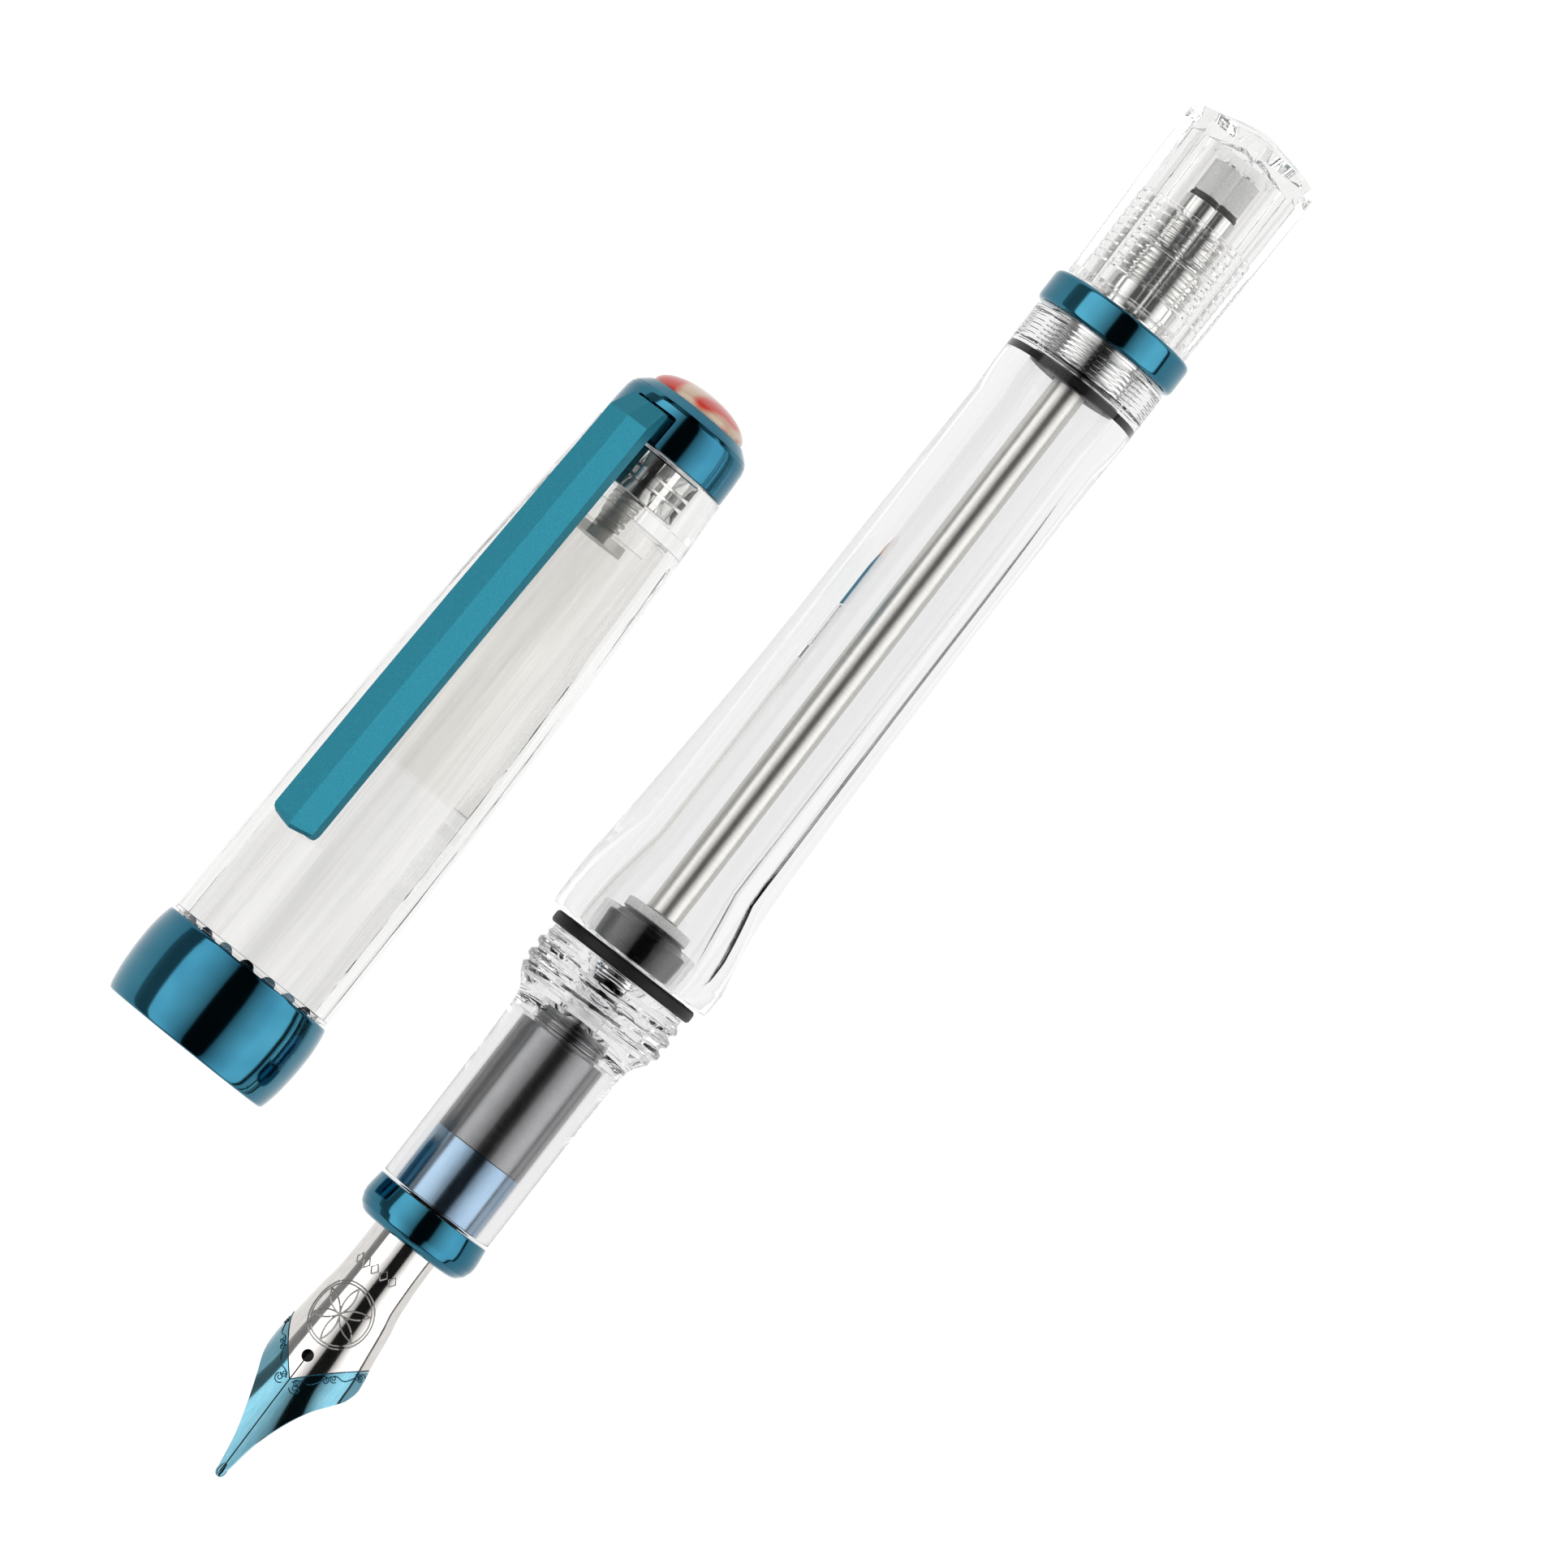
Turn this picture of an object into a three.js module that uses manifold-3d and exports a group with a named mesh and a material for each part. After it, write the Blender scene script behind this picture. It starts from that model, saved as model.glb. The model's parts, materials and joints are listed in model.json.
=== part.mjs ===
// A clear, plunger-filled fountain pen lying on a table, with its cap taken off and lying beside it.
//
// Millimetres, +Z up. The pen's axis runs along +X from the nib to the filler knob, the cap lies on
// the +Y side with its open end towards -X, and the origin is the middle of the footprint, at the
// height of the table. Every station below is a distance along a piece's own axis: from the nib's
// tip for the pen, and from the open rim for the cap.

import * as THREE from 'three';
import { mergeVertices } from 'three/addons/utils/BufferGeometryUtils.js';
import Module from 'manifold-3d';

const wasm = await Module();
wasm.setup();

// ---------------------------------------------------------------- driving dimensions

const DEGREE = Math.PI / 180;
const SIDES = 24;              // flats round a large turned piece
const SMALL_SIDES = 16;        // flats round a small turned piece
const CLEAR = 0.2;             // axial gap between pieces that meet end to end

const RING_FRONT = 22.9;       // front trim ring
const GRIP_FRONT = 26.25;      // where the clear grip starts
const COLLAR_END = 31.9;       // end of the blue sleeve that holds the nib
const HOUSING_END = 42.5;      // end of the dark sleeve behind it
const HOUSING_TAIL = 45;       // end of the thread that holds that sleeve
const THREAD_START = 45.2;     // cap thread on the section
const THREAD_PITCH = 1.2;
const THREAD_CRESTS = 3;
const BARREL_FRONT = 50.7;
const LIP = { from: 52.4, to: 53.6, radius: 7.42 };  // widest place of the barrel
const FLATS_START = 59.6;
const FLATS_END = 102;
const BARREL_END = 110.3;
const RING_RADIUS = 6.35;      // rear trim ring
const KNOB_START = 113.4;
const KNOB_SHOULDER = 129.8;
const KNOB_RADIUS = 6.05;      // to the corners at the shoulder
const PEN_LENGTH = 131.2;

const BORE = 3.75;             // radius of the ink chamber
const SECTION_BORE = 4.02;
const TAIL_BORE = 3.3;           // narrower bore that the sleeve's thread screws into
const SLEEVE_RADIUS = 3.85;
const ROD_RADIUS = 1.47;
const KNOB_FLATS = 8;
const KNOB_EDGE_FACING = 4.5;  // degrees from the top, towards -Y
const NIB_ROLL = -16 * DEGREE; // the nib is turned a little towards the cap

const CAP_LENGTH = 64.6;
const BAND_RADIUS = 7.95;
const BAND_END = 7.8;
const LINER_START = 27.2;
const CAP_WEB = 53.0;          // wall that closes the cap tube
const CAP_TUBE_END = 58.2;
const CAP_REST = [{ x: 33.3, radius: 7.08 }, { x: 42, radius: 6.72 }];  // where the cap lies
const CROWN_START = 58.45;
const CROWN_END = 62.8;
const JEWEL_RADIUS = 4.1;
const CLIP_TIP = 18.1;
const CLIP_END = 60.8;
const CLIP_ROLL = -29 * DEGREE; // the clip leans away from the pen

const CAP_RIM = { x: 24.4, y: 22.85 };  // middle of the cap's open rim, from the nib's tip
const CAP_YAW = -1.14 * DEGREE;

// The pen rests on the barrel's lip and the knob's shoulder, the cap on the taper of its tube. Each
// is tipped so that both of its resting places touch the table.
const flatRadius = (radius) => radius * Math.cos(Math.PI / SIDES);
const PEN_RESTS = [
  { x: LIP.to, drop: flatRadius(LIP.radius) },
  { x: KNOB_SHOULDER, drop: KNOB_RADIUS * Math.cos(KNOB_EDGE_FACING * DEGREE) },
];
const CAP_RESTS = CAP_REST.map(({ x, radius }) => ({ x, drop: flatRadius(radius) }));
const tiltOn = ([front, back]) => Math.atan2(front.drop - back.drop, back.x - front.x);
const heightOn = ([front], tilt) => front.x * Math.sin(tilt) + front.drop * Math.cos(tilt);
const PEN_TILT = tiltOn(PEN_RESTS);
const PEN_HEIGHT = heightOn(PEN_RESTS, PEN_TILT);
const CAP_TILT = tiltOn(CAP_RESTS);
const CAP_HEIGHT = heightOn(CAP_RESTS, CAP_TILT);

// ---------------------------------------------------------------- materials

const finish = (color, roughness, metalness) =>
  new THREE.MeshStandardMaterial({ color, roughness, metalness });
const FINISHES = {
  clear: () => finish(0xdfe4e6, 0.05, 0),
  milky: () => finish(0xeceff0, 0.35, 0),
  teal: () => finish(0x2a7fa3, 0.12, 1),
  satinTeal: () => finish(0x4a9cab, 0.45, 1),
  blueSleeve: () => finish(0x9bb5dd, 0.12, 1),
  steel: () => finish(0xc9c8c6, 0.22, 1),
  darkSleeve: () => finish(0x55575b, 0.4, 0.6),
  rubber: () => finish(0x141416, 0.6, 0),
  feedBlack: () => finish(0x1a1b1d, 0.5, 0),
  whitePlastic: () => finish(0xe9e9e6, 0.4, 0),
  jewel: () => finish(0xd23f38, 0.1, 0),
};

// ---------------------------------------------------------------- making closed bodies

// Merge shared corners, drop triangles without area, and turn every face outwards.
function closed(source) {
  const bare = source.index ? source : mergeVertices(source);
  bare.deleteAttribute('normal');
  bare.deleteAttribute('uv');
  const geometry = mergeVertices(bare, 1e-4);
  const kept = [];
  const index = geometry.index.array;
  for (let i = 0; i < index.length; i += 3) {
    const [a, b, c] = [index[i], index[i + 1], index[i + 2]];
    if (a !== b && b !== c && c !== a) kept.push(a, b, c);
  }
  if (signedVolume(geometry, kept) < 0) kept.reverse();
  geometry.setIndex(kept);
  return geometry;
}

function signedVolume(geometry, index) {
  const point = (i) => new THREE.Vector3().fromBufferAttribute(geometry.attributes.position, i);
  let volume = 0;
  for (let i = 0; i < index.length; i += 3) {
    const cross = point(index[i + 1]).cross(point(index[i + 2]));
    volume += point(index[i]).dot(cross) / 6;
  }
  return volume;
}

function toSolid(geometry) {
  const body = closed(geometry);
  const mesh = new wasm.Mesh({
    numProp: 3,
    vertProperties: new Float32Array(body.attributes.position.array),
    triVerts: new Uint32Array(body.index.array),
  });
  return new wasm.Manifold(mesh);
}

function toGeometry(solid) {
  const mesh = solid.getMesh();
  const geometry = new THREE.BufferGeometry();
  geometry.setAttribute('position', new THREE.BufferAttribute(mesh.vertProperties, 3));
  geometry.setIndex(new THREE.BufferAttribute(mesh.triVerts, 1));
  return geometry;
}

// Turn an outline of [station, radius] points about the X axis, with a flat at the bottom.
function turned(outline, sides = SIDES) {
  const points = outline.map(([station, radius]) => new THREE.Vector2(radius, station));
  return new THREE.LatheGeometry(points, sides, Math.PI / sides).rotateZ(-Math.PI / 2);
}

// A turned piece with a hole through it: the outside from front to back, and the inside back again.
function turnedTube(outside, inside, sides = SIDES) {
  return turned([...outside, ...inside, outside[0]], sides);
}

// A plain washer, sleeve or o-ring blank.
function sleeve(start, end, radius, bore, sides = SIDES) {
  return turnedTube([[start, radius], [end, radius]], [[end, bore], [start, bore]], sides);
}

// A ring of round section, such as an o-ring.
function roundRing(station, centreRadius, wire, sides = SIDES) {
  const outline = [];
  const steps = 8;
  for (let i = 0; i <= steps; i += 1) {
    const angle = (2 * Math.PI * i) / steps;
    outline.push([station + wire * Math.cos(angle), centreRadius + wire * Math.sin(angle)]);
  }
  return turned(outline, sides);
}

// Join closed loops of points, one after another, into one body with flat ends.
function loft(loops) {
  const size = loops[0].length;
  const positions = loops.flatMap((loop) => loop.flatMap((p) => [p.x, p.y, p.z]));
  const index = [];
  for (let i = 0; i < loops.length - 1; i += 1) {
    for (let j = 0; j < size; j += 1) {
      const next = (j + 1) % size;
      const [a, b] = [i * size + j, i * size + next];
      const [c, d] = [a + size, b + size];
      index.push(a, b, d, a, d, c);
    }
  }
  const end = (first, flip) => {
    const flat = loops[first].map((p) => new THREE.Vector2(p.y, p.z));
    for (const [a, b, c] of THREE.ShapeUtils.triangulateShape(flat, [])) {
      const base = first * size;
      index.push(...(flip ? [base + c, base + b, base + a] : [base + a, base + b, base + c]));
    }
  };
  const clockwise = THREE.ShapeUtils.isClockWise(loops[0].map((p) => new THREE.Vector2(p.y, p.z)));
  end(0, !clockwise);
  end(loops.length - 1, clockwise);
  const geometry = new THREE.BufferGeometry();
  geometry.setAttribute('position', new THREE.Float32BufferAttribute(positions, 3));
  geometry.setIndex(index);
  return geometry;
}

// A regular polygon across the X axis. The first corner is turned from the top towards -Y.
function polygon(station, cornerRadius, corners, firstCorner) {
  return Array.from({ length: corners }, (_, i) => {
    const angle = firstCorner * DEGREE + (2 * Math.PI * i) / corners;
    return new THREE.Vector3(
      station, -cornerRadius * Math.sin(angle), cornerRadius * Math.cos(angle));
  });
}

function named(name, geometry, material) {
  const mesh = new THREE.Mesh(closed(geometry), material());
  mesh.name = name;
  return mesh;
}

// ---------------------------------------------------------------- nib and feed

// Half width, sheet radius and height of the nib's middle line, along the pen.
const NIB_STATIONS = [
  { x: 0.7, half: 0.38, radius: 4.2, top: 2.68 },
  { x: 3.3, half: 0.84, radius: 4.2, top: 2.82 },
  { x: 5.8, half: 1.63, radius: 4.2, top: 2.95 },
  { x: 8.3, half: 2.72, radius: 4.2, top: 3.06 },
  { x: 9.6, half: 3.52, radius: 4.2, top: 3.1 },
  { x: 10.6, half: 3.96, radius: 4.2, top: 3.13 },
  { x: 11.6, half: 4.07, radius: 4.2, top: 3.15 },
  { x: 13.7, half: 3.8, radius: 3.92, top: 3.15 },
  { x: 16.7, half: 3.42, radius: 3.5, top: 3.12 },
  { x: 18.3, half: 3.14, radius: 3.2, top: 3.09 },
  { x: 22, half: 2.98, radius: 3.05, top: 3.05 },
  { x: 25.8, half: 2.98, radius: 3.05, top: 3.05 },
];
const NIB_SHEET = 0.28;
const BREATHER = { x: 11.6, radius: 0.5 };

function nibLoop({ x, half, radius, top }) {
  const steps = 12;
  const arc = (offset) => Array.from({ length: steps + 1 }, (_, i) => {
    const angle = Math.asin(half / radius) * (1 - (2 * i) / steps);
    const r = radius - offset;
    return new THREE.Vector3(x, r * Math.sin(angle), top - radius + r * Math.cos(angle));
  });
  return [...arc(0), ...arc(NIB_SHEET).reverse()];
}

function makeNib() {
  const sheet = toSolid(loft(NIB_STATIONS.map(nibLoop)));
  const bead = toSolid(new THREE.SphereGeometry(0.44, 12, 8).translate(0.46, 0, 2.5));
  const hole = toSolid(new THREE.CylinderGeometry(BREATHER.radius, BREATHER.radius, 2, 16)
    .rotateX(Math.PI / 2).translate(BREATHER.x, 0, 3));
  const slitLength = BREATHER.x + 1;
  const slit = toSolid(new THREE.BoxGeometry(slitLength, 0.08, 3)
    .translate(BREATHER.x - slitLength / 2, 0, 2.9));
  return named('nib', toGeometry(sheet.add(bead).subtract(hole).subtract(slit)), FINISHES.steel);
}

// Half width, top and bottom of the feed's section.
const FEED_STATIONS = [
  { x: 4.2, half: 0.45, top: 2.3, bottom: 1.9 },
  { x: 7, half: 1.1, top: 2.4, bottom: 0.9 },
  { x: 11, half: 1.9, top: 2.4, bottom: -0.9 },
  { x: 15, half: 2.35, top: 2.4, bottom: -2.1 },
  { x: 18, half: 2.5, top: 2.45, bottom: -2.5 },
  { x: 25.9, half: 2.5, top: 2.5, bottom: -2.5 },
];

function makeFeed() {
  const steps = 12;
  const front = FEED_STATIONS.map(({ x, half, top, bottom }) =>
    Array.from({ length: steps }, (_, i) => {
      const angle = (2 * Math.PI * (i + 0.5)) / steps;
      const middle = (top + bottom) / 2;
      return new THREE.Vector3(
        x, half * Math.sin(angle), middle + ((top - bottom) / 2) * Math.cos(angle));
    }));
  const blade = toSolid(loft(front));
  const end = HOUSING_TAIL - 1;
  const tail = toSolid(turned([[25, 0], [25, 2.3], [end, 2.3], [end, 0]], 16));
  return named('feed', toGeometry(blade.add(tail)), FINISHES.feedBlack);
}

// ---------------------------------------------------------------- section

function makeGripTrimRing() {
  const outside = [
    [RING_FRONT, 4.2], [RING_FRONT + 0.3, 4.75], [RING_FRONT + 1.3, 5.2], [RING_FRONT + 2, 5.2],
    [GRIP_FRONT, 5.03],
  ];
  const bore = 3.3;
  return named('grip_trim_ring',
    turnedTube(outside, [[GRIP_FRONT, bore], [RING_FRONT, bore]]), FINISHES.teal);
}

function makeGripSection() {
  const root = 6.15;
  const crest = 6.52;
  const outside = [[GRIP_FRONT + CLEAR, 5], [36, 5.02], [43.6, 5.22], [45, root]];
  for (let turn = 0; turn < THREAD_CRESTS; turn += 1) {
    const start = THREAD_START + turn * THREAD_PITCH;
    outside.push([start, root], [start + 0.35, crest], [start + 0.55, crest], [start + 0.9, root]);
  }
  const groove = { start: 49.35, radius: 5.6 };
  const tenon = { end: 53.6, radius: 4.35, bore: 3.85 };
  const end = BARREL_FRONT - CLEAR;
  outside.push(
    [groove.start, root], [groove.start, groove.radius], [end, groove.radius],
    [end, tenon.radius], [tenon.end, tenon.radius]);
  const inside = [
    [tenon.end, tenon.bore], [50.9, tenon.bore], [49.2, 3], [47.8, 1.6], [45.3, 1.6],
    [45.3, TAIL_BORE], [HOUSING_END + CLEAR, TAIL_BORE],
    [HOUSING_END + CLEAR, SECTION_BORE], [GRIP_FRONT + CLEAR, SECTION_BORE],
  ];
  return named('grip_section', turnedTube(outside, inside), FINISHES.clear);
}

function makeSectionSleeves() {
  const bore = 2.6;
  return [
    named('nib_collar',
      sleeve(GRIP_FRONT + 0.3, COLLAR_END - CLEAR, SLEEVE_RADIUS, bore), FINISHES.blueSleeve),
    named('nib_housing', turnedTube(
      [[COLLAR_END, SLEEVE_RADIUS], [HOUSING_END, SLEEVE_RADIUS], [HOUSING_END, 3], [HOUSING_TAIL, 3]],
      [[HOUSING_TAIL, bore], [COLLAR_END, bore]]), FINISHES.darkSleeve),
  ];
}

const makeSectionORing = () =>
  named('section_o_ring', roundRing(49.95, 6.14, 0.5), FINISHES.rubber);

// ---------------------------------------------------------------- barrel and filler

function makeBarrel() {
  const outside = [
    [BARREL_FRONT, 6.95], [51.2, 7.3], [LIP.from, LIP.radius], [LIP.to, LIP.radius],
    [FLATS_START, 7.1], [66, 6.75], [78.3, 6.3], [90.8, 6.15], [FLATS_END, 5.92], [106, 6.06],
    [BARREL_END - CLEAR, 6.06],
  ];
  const seat = 4.4;
  const inside = [
    [BARREL_END - CLEAR, seat], [107.15, seat], [107.15, 4], [103.6, 4], [103.2, BORE],
    [FLATS_START, BORE], [54.8, 4.6], [BARREL_FRONT, 5],
  ];
  // One flat faces -Y and keeps the pen from rolling. Each entry is its distance from the axis.
  const flat = [
    [50, 8.1], [FLATS_START, 6.25], [78.3, 5.87], [90.8, 5.8], [FLATS_END, 5.92], [111, 7],
  ];
  const reach = 10;
  const kept = flat.map(([station, distance]) => [
    new THREE.Vector3(station, -distance, -reach), new THREE.Vector3(station, reach, -reach),
    new THREE.Vector3(station, reach, reach), new THREE.Vector3(station, -distance, reach)]);
  const body = toSolid(turnedTube(outside, inside)).intersect(toSolid(loft(kept)));
  return named('barrel', toGeometry(body), FINISHES.clear);
}

function makeRearCollar() {
  const thread = (start, count, pitch, root, crest) =>
    Array.from({ length: count }, (_, i) => start + i * pitch).flatMap((x) => [
      [x, root], [x + pitch * 0.3, crest], [x + pitch * 0.6, crest], [x + pitch * 0.9, root]]);
  const outside = [
    [107.3, 3.9], ...thread(107.5, 3, 0.8, 4, 4.25), [110.1, 4], [110.1, 4.6], [113, 4.6],
    [113, 3.55], ...thread(115.8, 3, 0.9, 3.4, 3.6), [119, 3.4],
  ];
  const bore = ROD_RADIUS + 0.13;
  const groove = { start: 108.2, end: 109.3, radius: 2.5 };
  const inside = [
    [119, bore], [groove.end, bore], [groove.end, groove.radius], [groove.start, groove.radius],
    [groove.start, bore], [107.3, bore],
  ];
  return named('rear_collar', turnedTube(outside, inside, SMALL_SIDES), FINISHES.steel);
}

function makeRearRings() {
  const outside = [
    [BARREL_END + 0.1, 5.95], [BARREL_END + 0.6, RING_RADIUS], [KNOB_START - 0.7, RING_RADIUS],
    [KNOB_START - CLEAR, 5.9],
  ];
  const bore = 4.85;
  const trim = turnedTube(outside, [[KNOB_START - CLEAR, bore], [BARREL_END + 0.1, bore]]);
  return [
    named('rear_trim_ring', trim, FINISHES.teal),
    named('chamber_o_ring', sleeve(106.1, 107, 3.7, ROD_RADIUS + 0.2, SMALL_SIDES), FINISHES.rubber),
    named('rod_seal', roundRing(108.75, 2.03, 0.4, SMALL_SIDES), FINISHES.rubber),
  ];
}

// The rod with the parts of the piston at its front end.
function makePlunger() {
  const core = 1;
  const fit = 1.12;
  const rod = [
    [50.95, 0], [50.95, core], [54.95, core], [54.95, ROD_RADIUS], [119.1, ROD_RADIUS],
    [119.1, 1.2], [127.8, 1.2], [127.8, 0],
  ];
  const seal = turnedTube(
    [[51, 2.9], [51.5, 3.5], [53.1, 3.6], [53.5, 2.9], [53.95, 2.8]], [[53.95, fit], [51, fit]]);
  const screw = [[49.5, 0], [49.7, 1.1], [50.2, 1.8], [50.8, 1.9], [50.8, 0]];
  return [
    named('plunger_rod', turned(rod, 16), FINISHES.steel),
    named('piston_seal', seal, FINISHES.rubber),
    named('piston_washer', sleeve(54.1, 54.85, 2.95, fit, SMALL_SIDES), FINISHES.whitePlastic),
    named('piston_screw', turned(screw, 16), FINISHES.steel),
  ];
}

function makeKnob() {
  const edge = (station, radius) => polygon(station, radius, KNOB_FLATS, KNOB_EDGE_FACING);
  const outside = loft([
    edge(KNOB_START, 5.72), edge(KNOB_SHOULDER, KNOB_RADIUS), edge(PEN_LENGTH, 0.8)]);
  const hollow = turned([
    [KNOB_START - 1, 0], [KNOB_START - 1, 3.95], [122.4, 3.95], [122.4, 3.5], [128.1, 3.5],
    [129.2, 0],
  ], SMALL_SIDES);
  return named('filler_knob',
    toGeometry(toSolid(outside).subtract(toSolid(hollow))), FINISHES.clear);
}

function makeKnobFittings() {
  const bore = 1.35;
  const anchor = turnedTube(
    [[119.3, 2.9], [119.6, 3.1], [122, 3.1], [122.3, 2.9], [122.3, 2.42], [123.95, 2.42]],
    [[123.95, bore], [119.3, bore]], SMALL_SIDES);
  const hexagon = new THREE.Shape(polygon(0, 2.3, 6, 0).map((p) => new THREE.Vector2(p.y, p.z)));
  hexagon.holes.push(new THREE.Path().absarc(0, 0, bore, 0, 2 * Math.PI));
  const nut = new THREE.ExtrudeGeometry(
    hexagon, { depth: 2.8, bevelEnabled: false, curveSegments: 8 }).rotateY(Math.PI / 2);
  return [
    named('knob_anchor', anchor, FINISHES.steel),
    named('knob_washer', sleeve(124.1, 124.4, 2.2, bore, 16), FINISHES.rubber),
    named('knob_nut', nut.translate(124.55, 0, 0), FINISHES.steel),
  ];
}

// ---------------------------------------------------------------- cap

function makeCapBand() {
  const outside = [
    [0, 7.4], [0.4, 7.58], [2.4, 7.86], [4.2, BAND_RADIUS], [5.2, BAND_RADIUS], [6.6, 7.84],
    [BAND_END, 7.62],
  ];
  const rim = 6.7;
  const seat = 7.1;
  return named('cap_band',
    turnedTube(outside, [[BAND_END, seat], [0.7, seat], [0.7, rim], [0, rim]]), FINISHES.teal);
}

function makeCapTube() {
  const outside = [
    [0.9, 6.98], [BAND_END + 0.15, 6.98], [BAND_END + 0.15, 7.42], [20.8, 7.3],
    ...CAP_REST.map(({ x, radius }) => [x, radius]), [49.6, 6.38], [CAP_TUBE_END, 5.88],
  ];
  const web = CAP_WEB + 1.2;
  const inside = [
    [CAP_TUBE_END, 4], [web, 4], [web, 1.6], [CAP_WEB, 1.6], [CAP_WEB, 4.95], [LINER_START, 6.1],
    [8.5, 6.3], [8.3, 6.66], [0.9, 6.66],
  ];
  return named('cap_tube', turnedTube(outside, inside), FINISHES.clear);
}

function makeInnerCap() {
  const outside = [[LINER_START, 5.78], [CAP_WEB - 0.6, 4.66], [CAP_WEB - 0.3, 4.4]];
  const floor = 51.2;
  const inside = [
    [CAP_WEB - 0.3, 1.6], [floor, 1.6], [floor, 3.9], [LINER_START + 0.5, 5.1], [LINER_START, 5.3],
  ];
  return named('inner_cap', turnedTube(outside, inside), FINISHES.milky);
}

function makeCapFittings() {
  const screw = [[50.2, 0], [50.2, 2.2], [51, 2.3], [51, 1.3], [57.6, 1.3], [57.6, 0]];
  const flutes = 12;
  const star = Array.from({ length: 2 * flutes }, (_, i) => {
    const angle = (Math.PI * i) / flutes;
    const radius = i % 2 ? 3.3 : 3.75;
    return new THREE.Vector2(radius * Math.cos(angle), radius * Math.sin(angle));
  });
  const shape = new THREE.Shape(star);
  shape.holes.push(new THREE.Path().absarc(0, 0, 1.5, 0, 2 * Math.PI));
  const insert = new THREE.ExtrudeGeometry(
    shape, { depth: 3.6, bevelEnabled: false, curveSegments: 8 }).rotateY(Math.PI / 2);
  return [
    named('cap_screw', turned(screw, 16), FINISHES.steel),
    named('finial_insert', insert.translate(54.4, 0, 0), FINISHES.steel),
  ];
}

function makeCrown() {
  const seat = JEWEL_RADIUS + 0.15;
  const outside = [
    [CROWN_START, 5.8], [61.4, 5.66], [62.2, 5.3], [CROWN_END, 4.55],
  ];
  const inside = [[CROWN_END, seat], [61.9, seat], [61.9, 1.5], [CROWN_START, 1.5]];
  const ring = toSolid(turnedTube(outside, inside));
  const slot = { from: CROWN_START - 0.5, to: CLIP_END + 0.3, floor: 4.3, width: 3.6 };
  const notch = toSolid(new THREE.BoxGeometry(slot.to - slot.from, slot.width, 3)
    .translate((slot.from + slot.to) / 2, 0, slot.floor + 1.5));
  const dome = [[62.1, 0], [62.1, JEWEL_RADIUS], [62.85, JEWEL_RADIUS]];
  const steps = 5;
  for (let i = 1; i <= steps; i += 1) {
    const angle = (i / steps) * (Math.PI / 2);
    const rise = CAP_LENGTH - 62.85;
    dome.push([62.85 + rise * Math.sin(angle), i === steps ? 0 : JEWEL_RADIUS * Math.cos(angle)]);
  }
  return [
    named('cap_crown_ring', toGeometry(ring.subtract(notch)), FINISHES.teal),
    named('finial_jewel', turned(dome), FINISHES.jewel),
  ];
}

// A bar with a raised middle ridge, a bevelled root, and a leg that reaches into the crown.
function makeClip() {
  const bar = [
    { x: CLIP_TIP, half: 1.5, ridge: 8.55, thickness: 0.9 },
    { x: CLIP_TIP + 0.7, half: 2.25, ridge: 8.95, thickness: 1.2 },
    { x: 40, half: 2.2, ridge: 8.5, thickness: 1.3 },
    { x: CLIP_END - 1.9, half: 2, ridge: 7.93, thickness: 1.75 },
    { x: CLIP_END, half: 1.7, ridge: 6.75, thickness: 0.65 },
  ];
  const crown = 0.35;
  const loops = bar.map(({ x, half, ridge, thickness }) => [
    new THREE.Vector3(x, half, ridge - thickness),
    new THREE.Vector3(x, half, ridge - crown),
    new THREE.Vector3(x, 0, ridge),
    new THREE.Vector3(x, -half, ridge - crown),
    new THREE.Vector3(x, -half, ridge - thickness),
  ]);
  const legWidth = 3;
  const leg = toSolid(new THREE.BoxGeometry(2, legWidth, 1.7)
    .translate(CLIP_END - 1.05, 0, 5.45));
  const pad = toSolid(new THREE.BoxGeometry(2.4, 2.4, 0.6).translate(CLIP_TIP + 2.6, 0, 7.8));
  return named('clip', toGeometry(toSolid(loft(loops)).add(leg).add(pad)), FINISHES.satinTeal);
}

// ---------------------------------------------------------------- assembly

const nibUnit = new THREE.Group();
nibUnit.rotation.x = NIB_ROLL;
nibUnit.add(makeNib(), makeFeed());

const pen = new THREE.Group();
pen.rotation.y = PEN_TILT;
pen.position.z = PEN_HEIGHT;
pen.add(
  nibUnit, makeGripTrimRing(), makeGripSection(), ...makeSectionSleeves(), makeSectionORing(),
  makeBarrel(), makeRearCollar(), ...makeRearRings(), ...makePlunger(), makeKnob(),
  ...makeKnobFittings());

const clipSide = new THREE.Group();
clipSide.rotation.x = CLIP_ROLL;
clipSide.add(makeClip(), ...makeCrown());

const cap = new THREE.Group();
cap.rotation.set(0, CAP_TILT, CAP_YAW, 'ZYX');
cap.position.set(CAP_RIM.x, CAP_RIM.y, CAP_HEIGHT);
cap.add(makeCapBand(), makeCapTube(), makeInnerCap(), ...makeCapFittings(), clipSide);

const fountainPen = new THREE.Group();
fountainPen.add(pen, cap);

// Put the origin at the middle of the footprint, on the table.
fountainPen.updateMatrixWorld(true);
const footprint = new THREE.Box3().setFromObject(fountainPen, true);
const middle = footprint.getCenter(new THREE.Vector3());
fountainPen.position.set(-middle.x, -middle.y, -footprint.min.z);

export default fountainPen;
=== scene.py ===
"""A clear plunger-filled fountain pen and its cap on a white table, in soft studio light.

Each piece is modelled in millimetres in the space of its own axis: x runs from the nib to the knob,
or from the cap's rim to its crown, z is up, and angles are measured from the top towards -y.
"""

import json
import math

import bmesh
import bpy
from mathutils import Matrix, Vector


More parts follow.
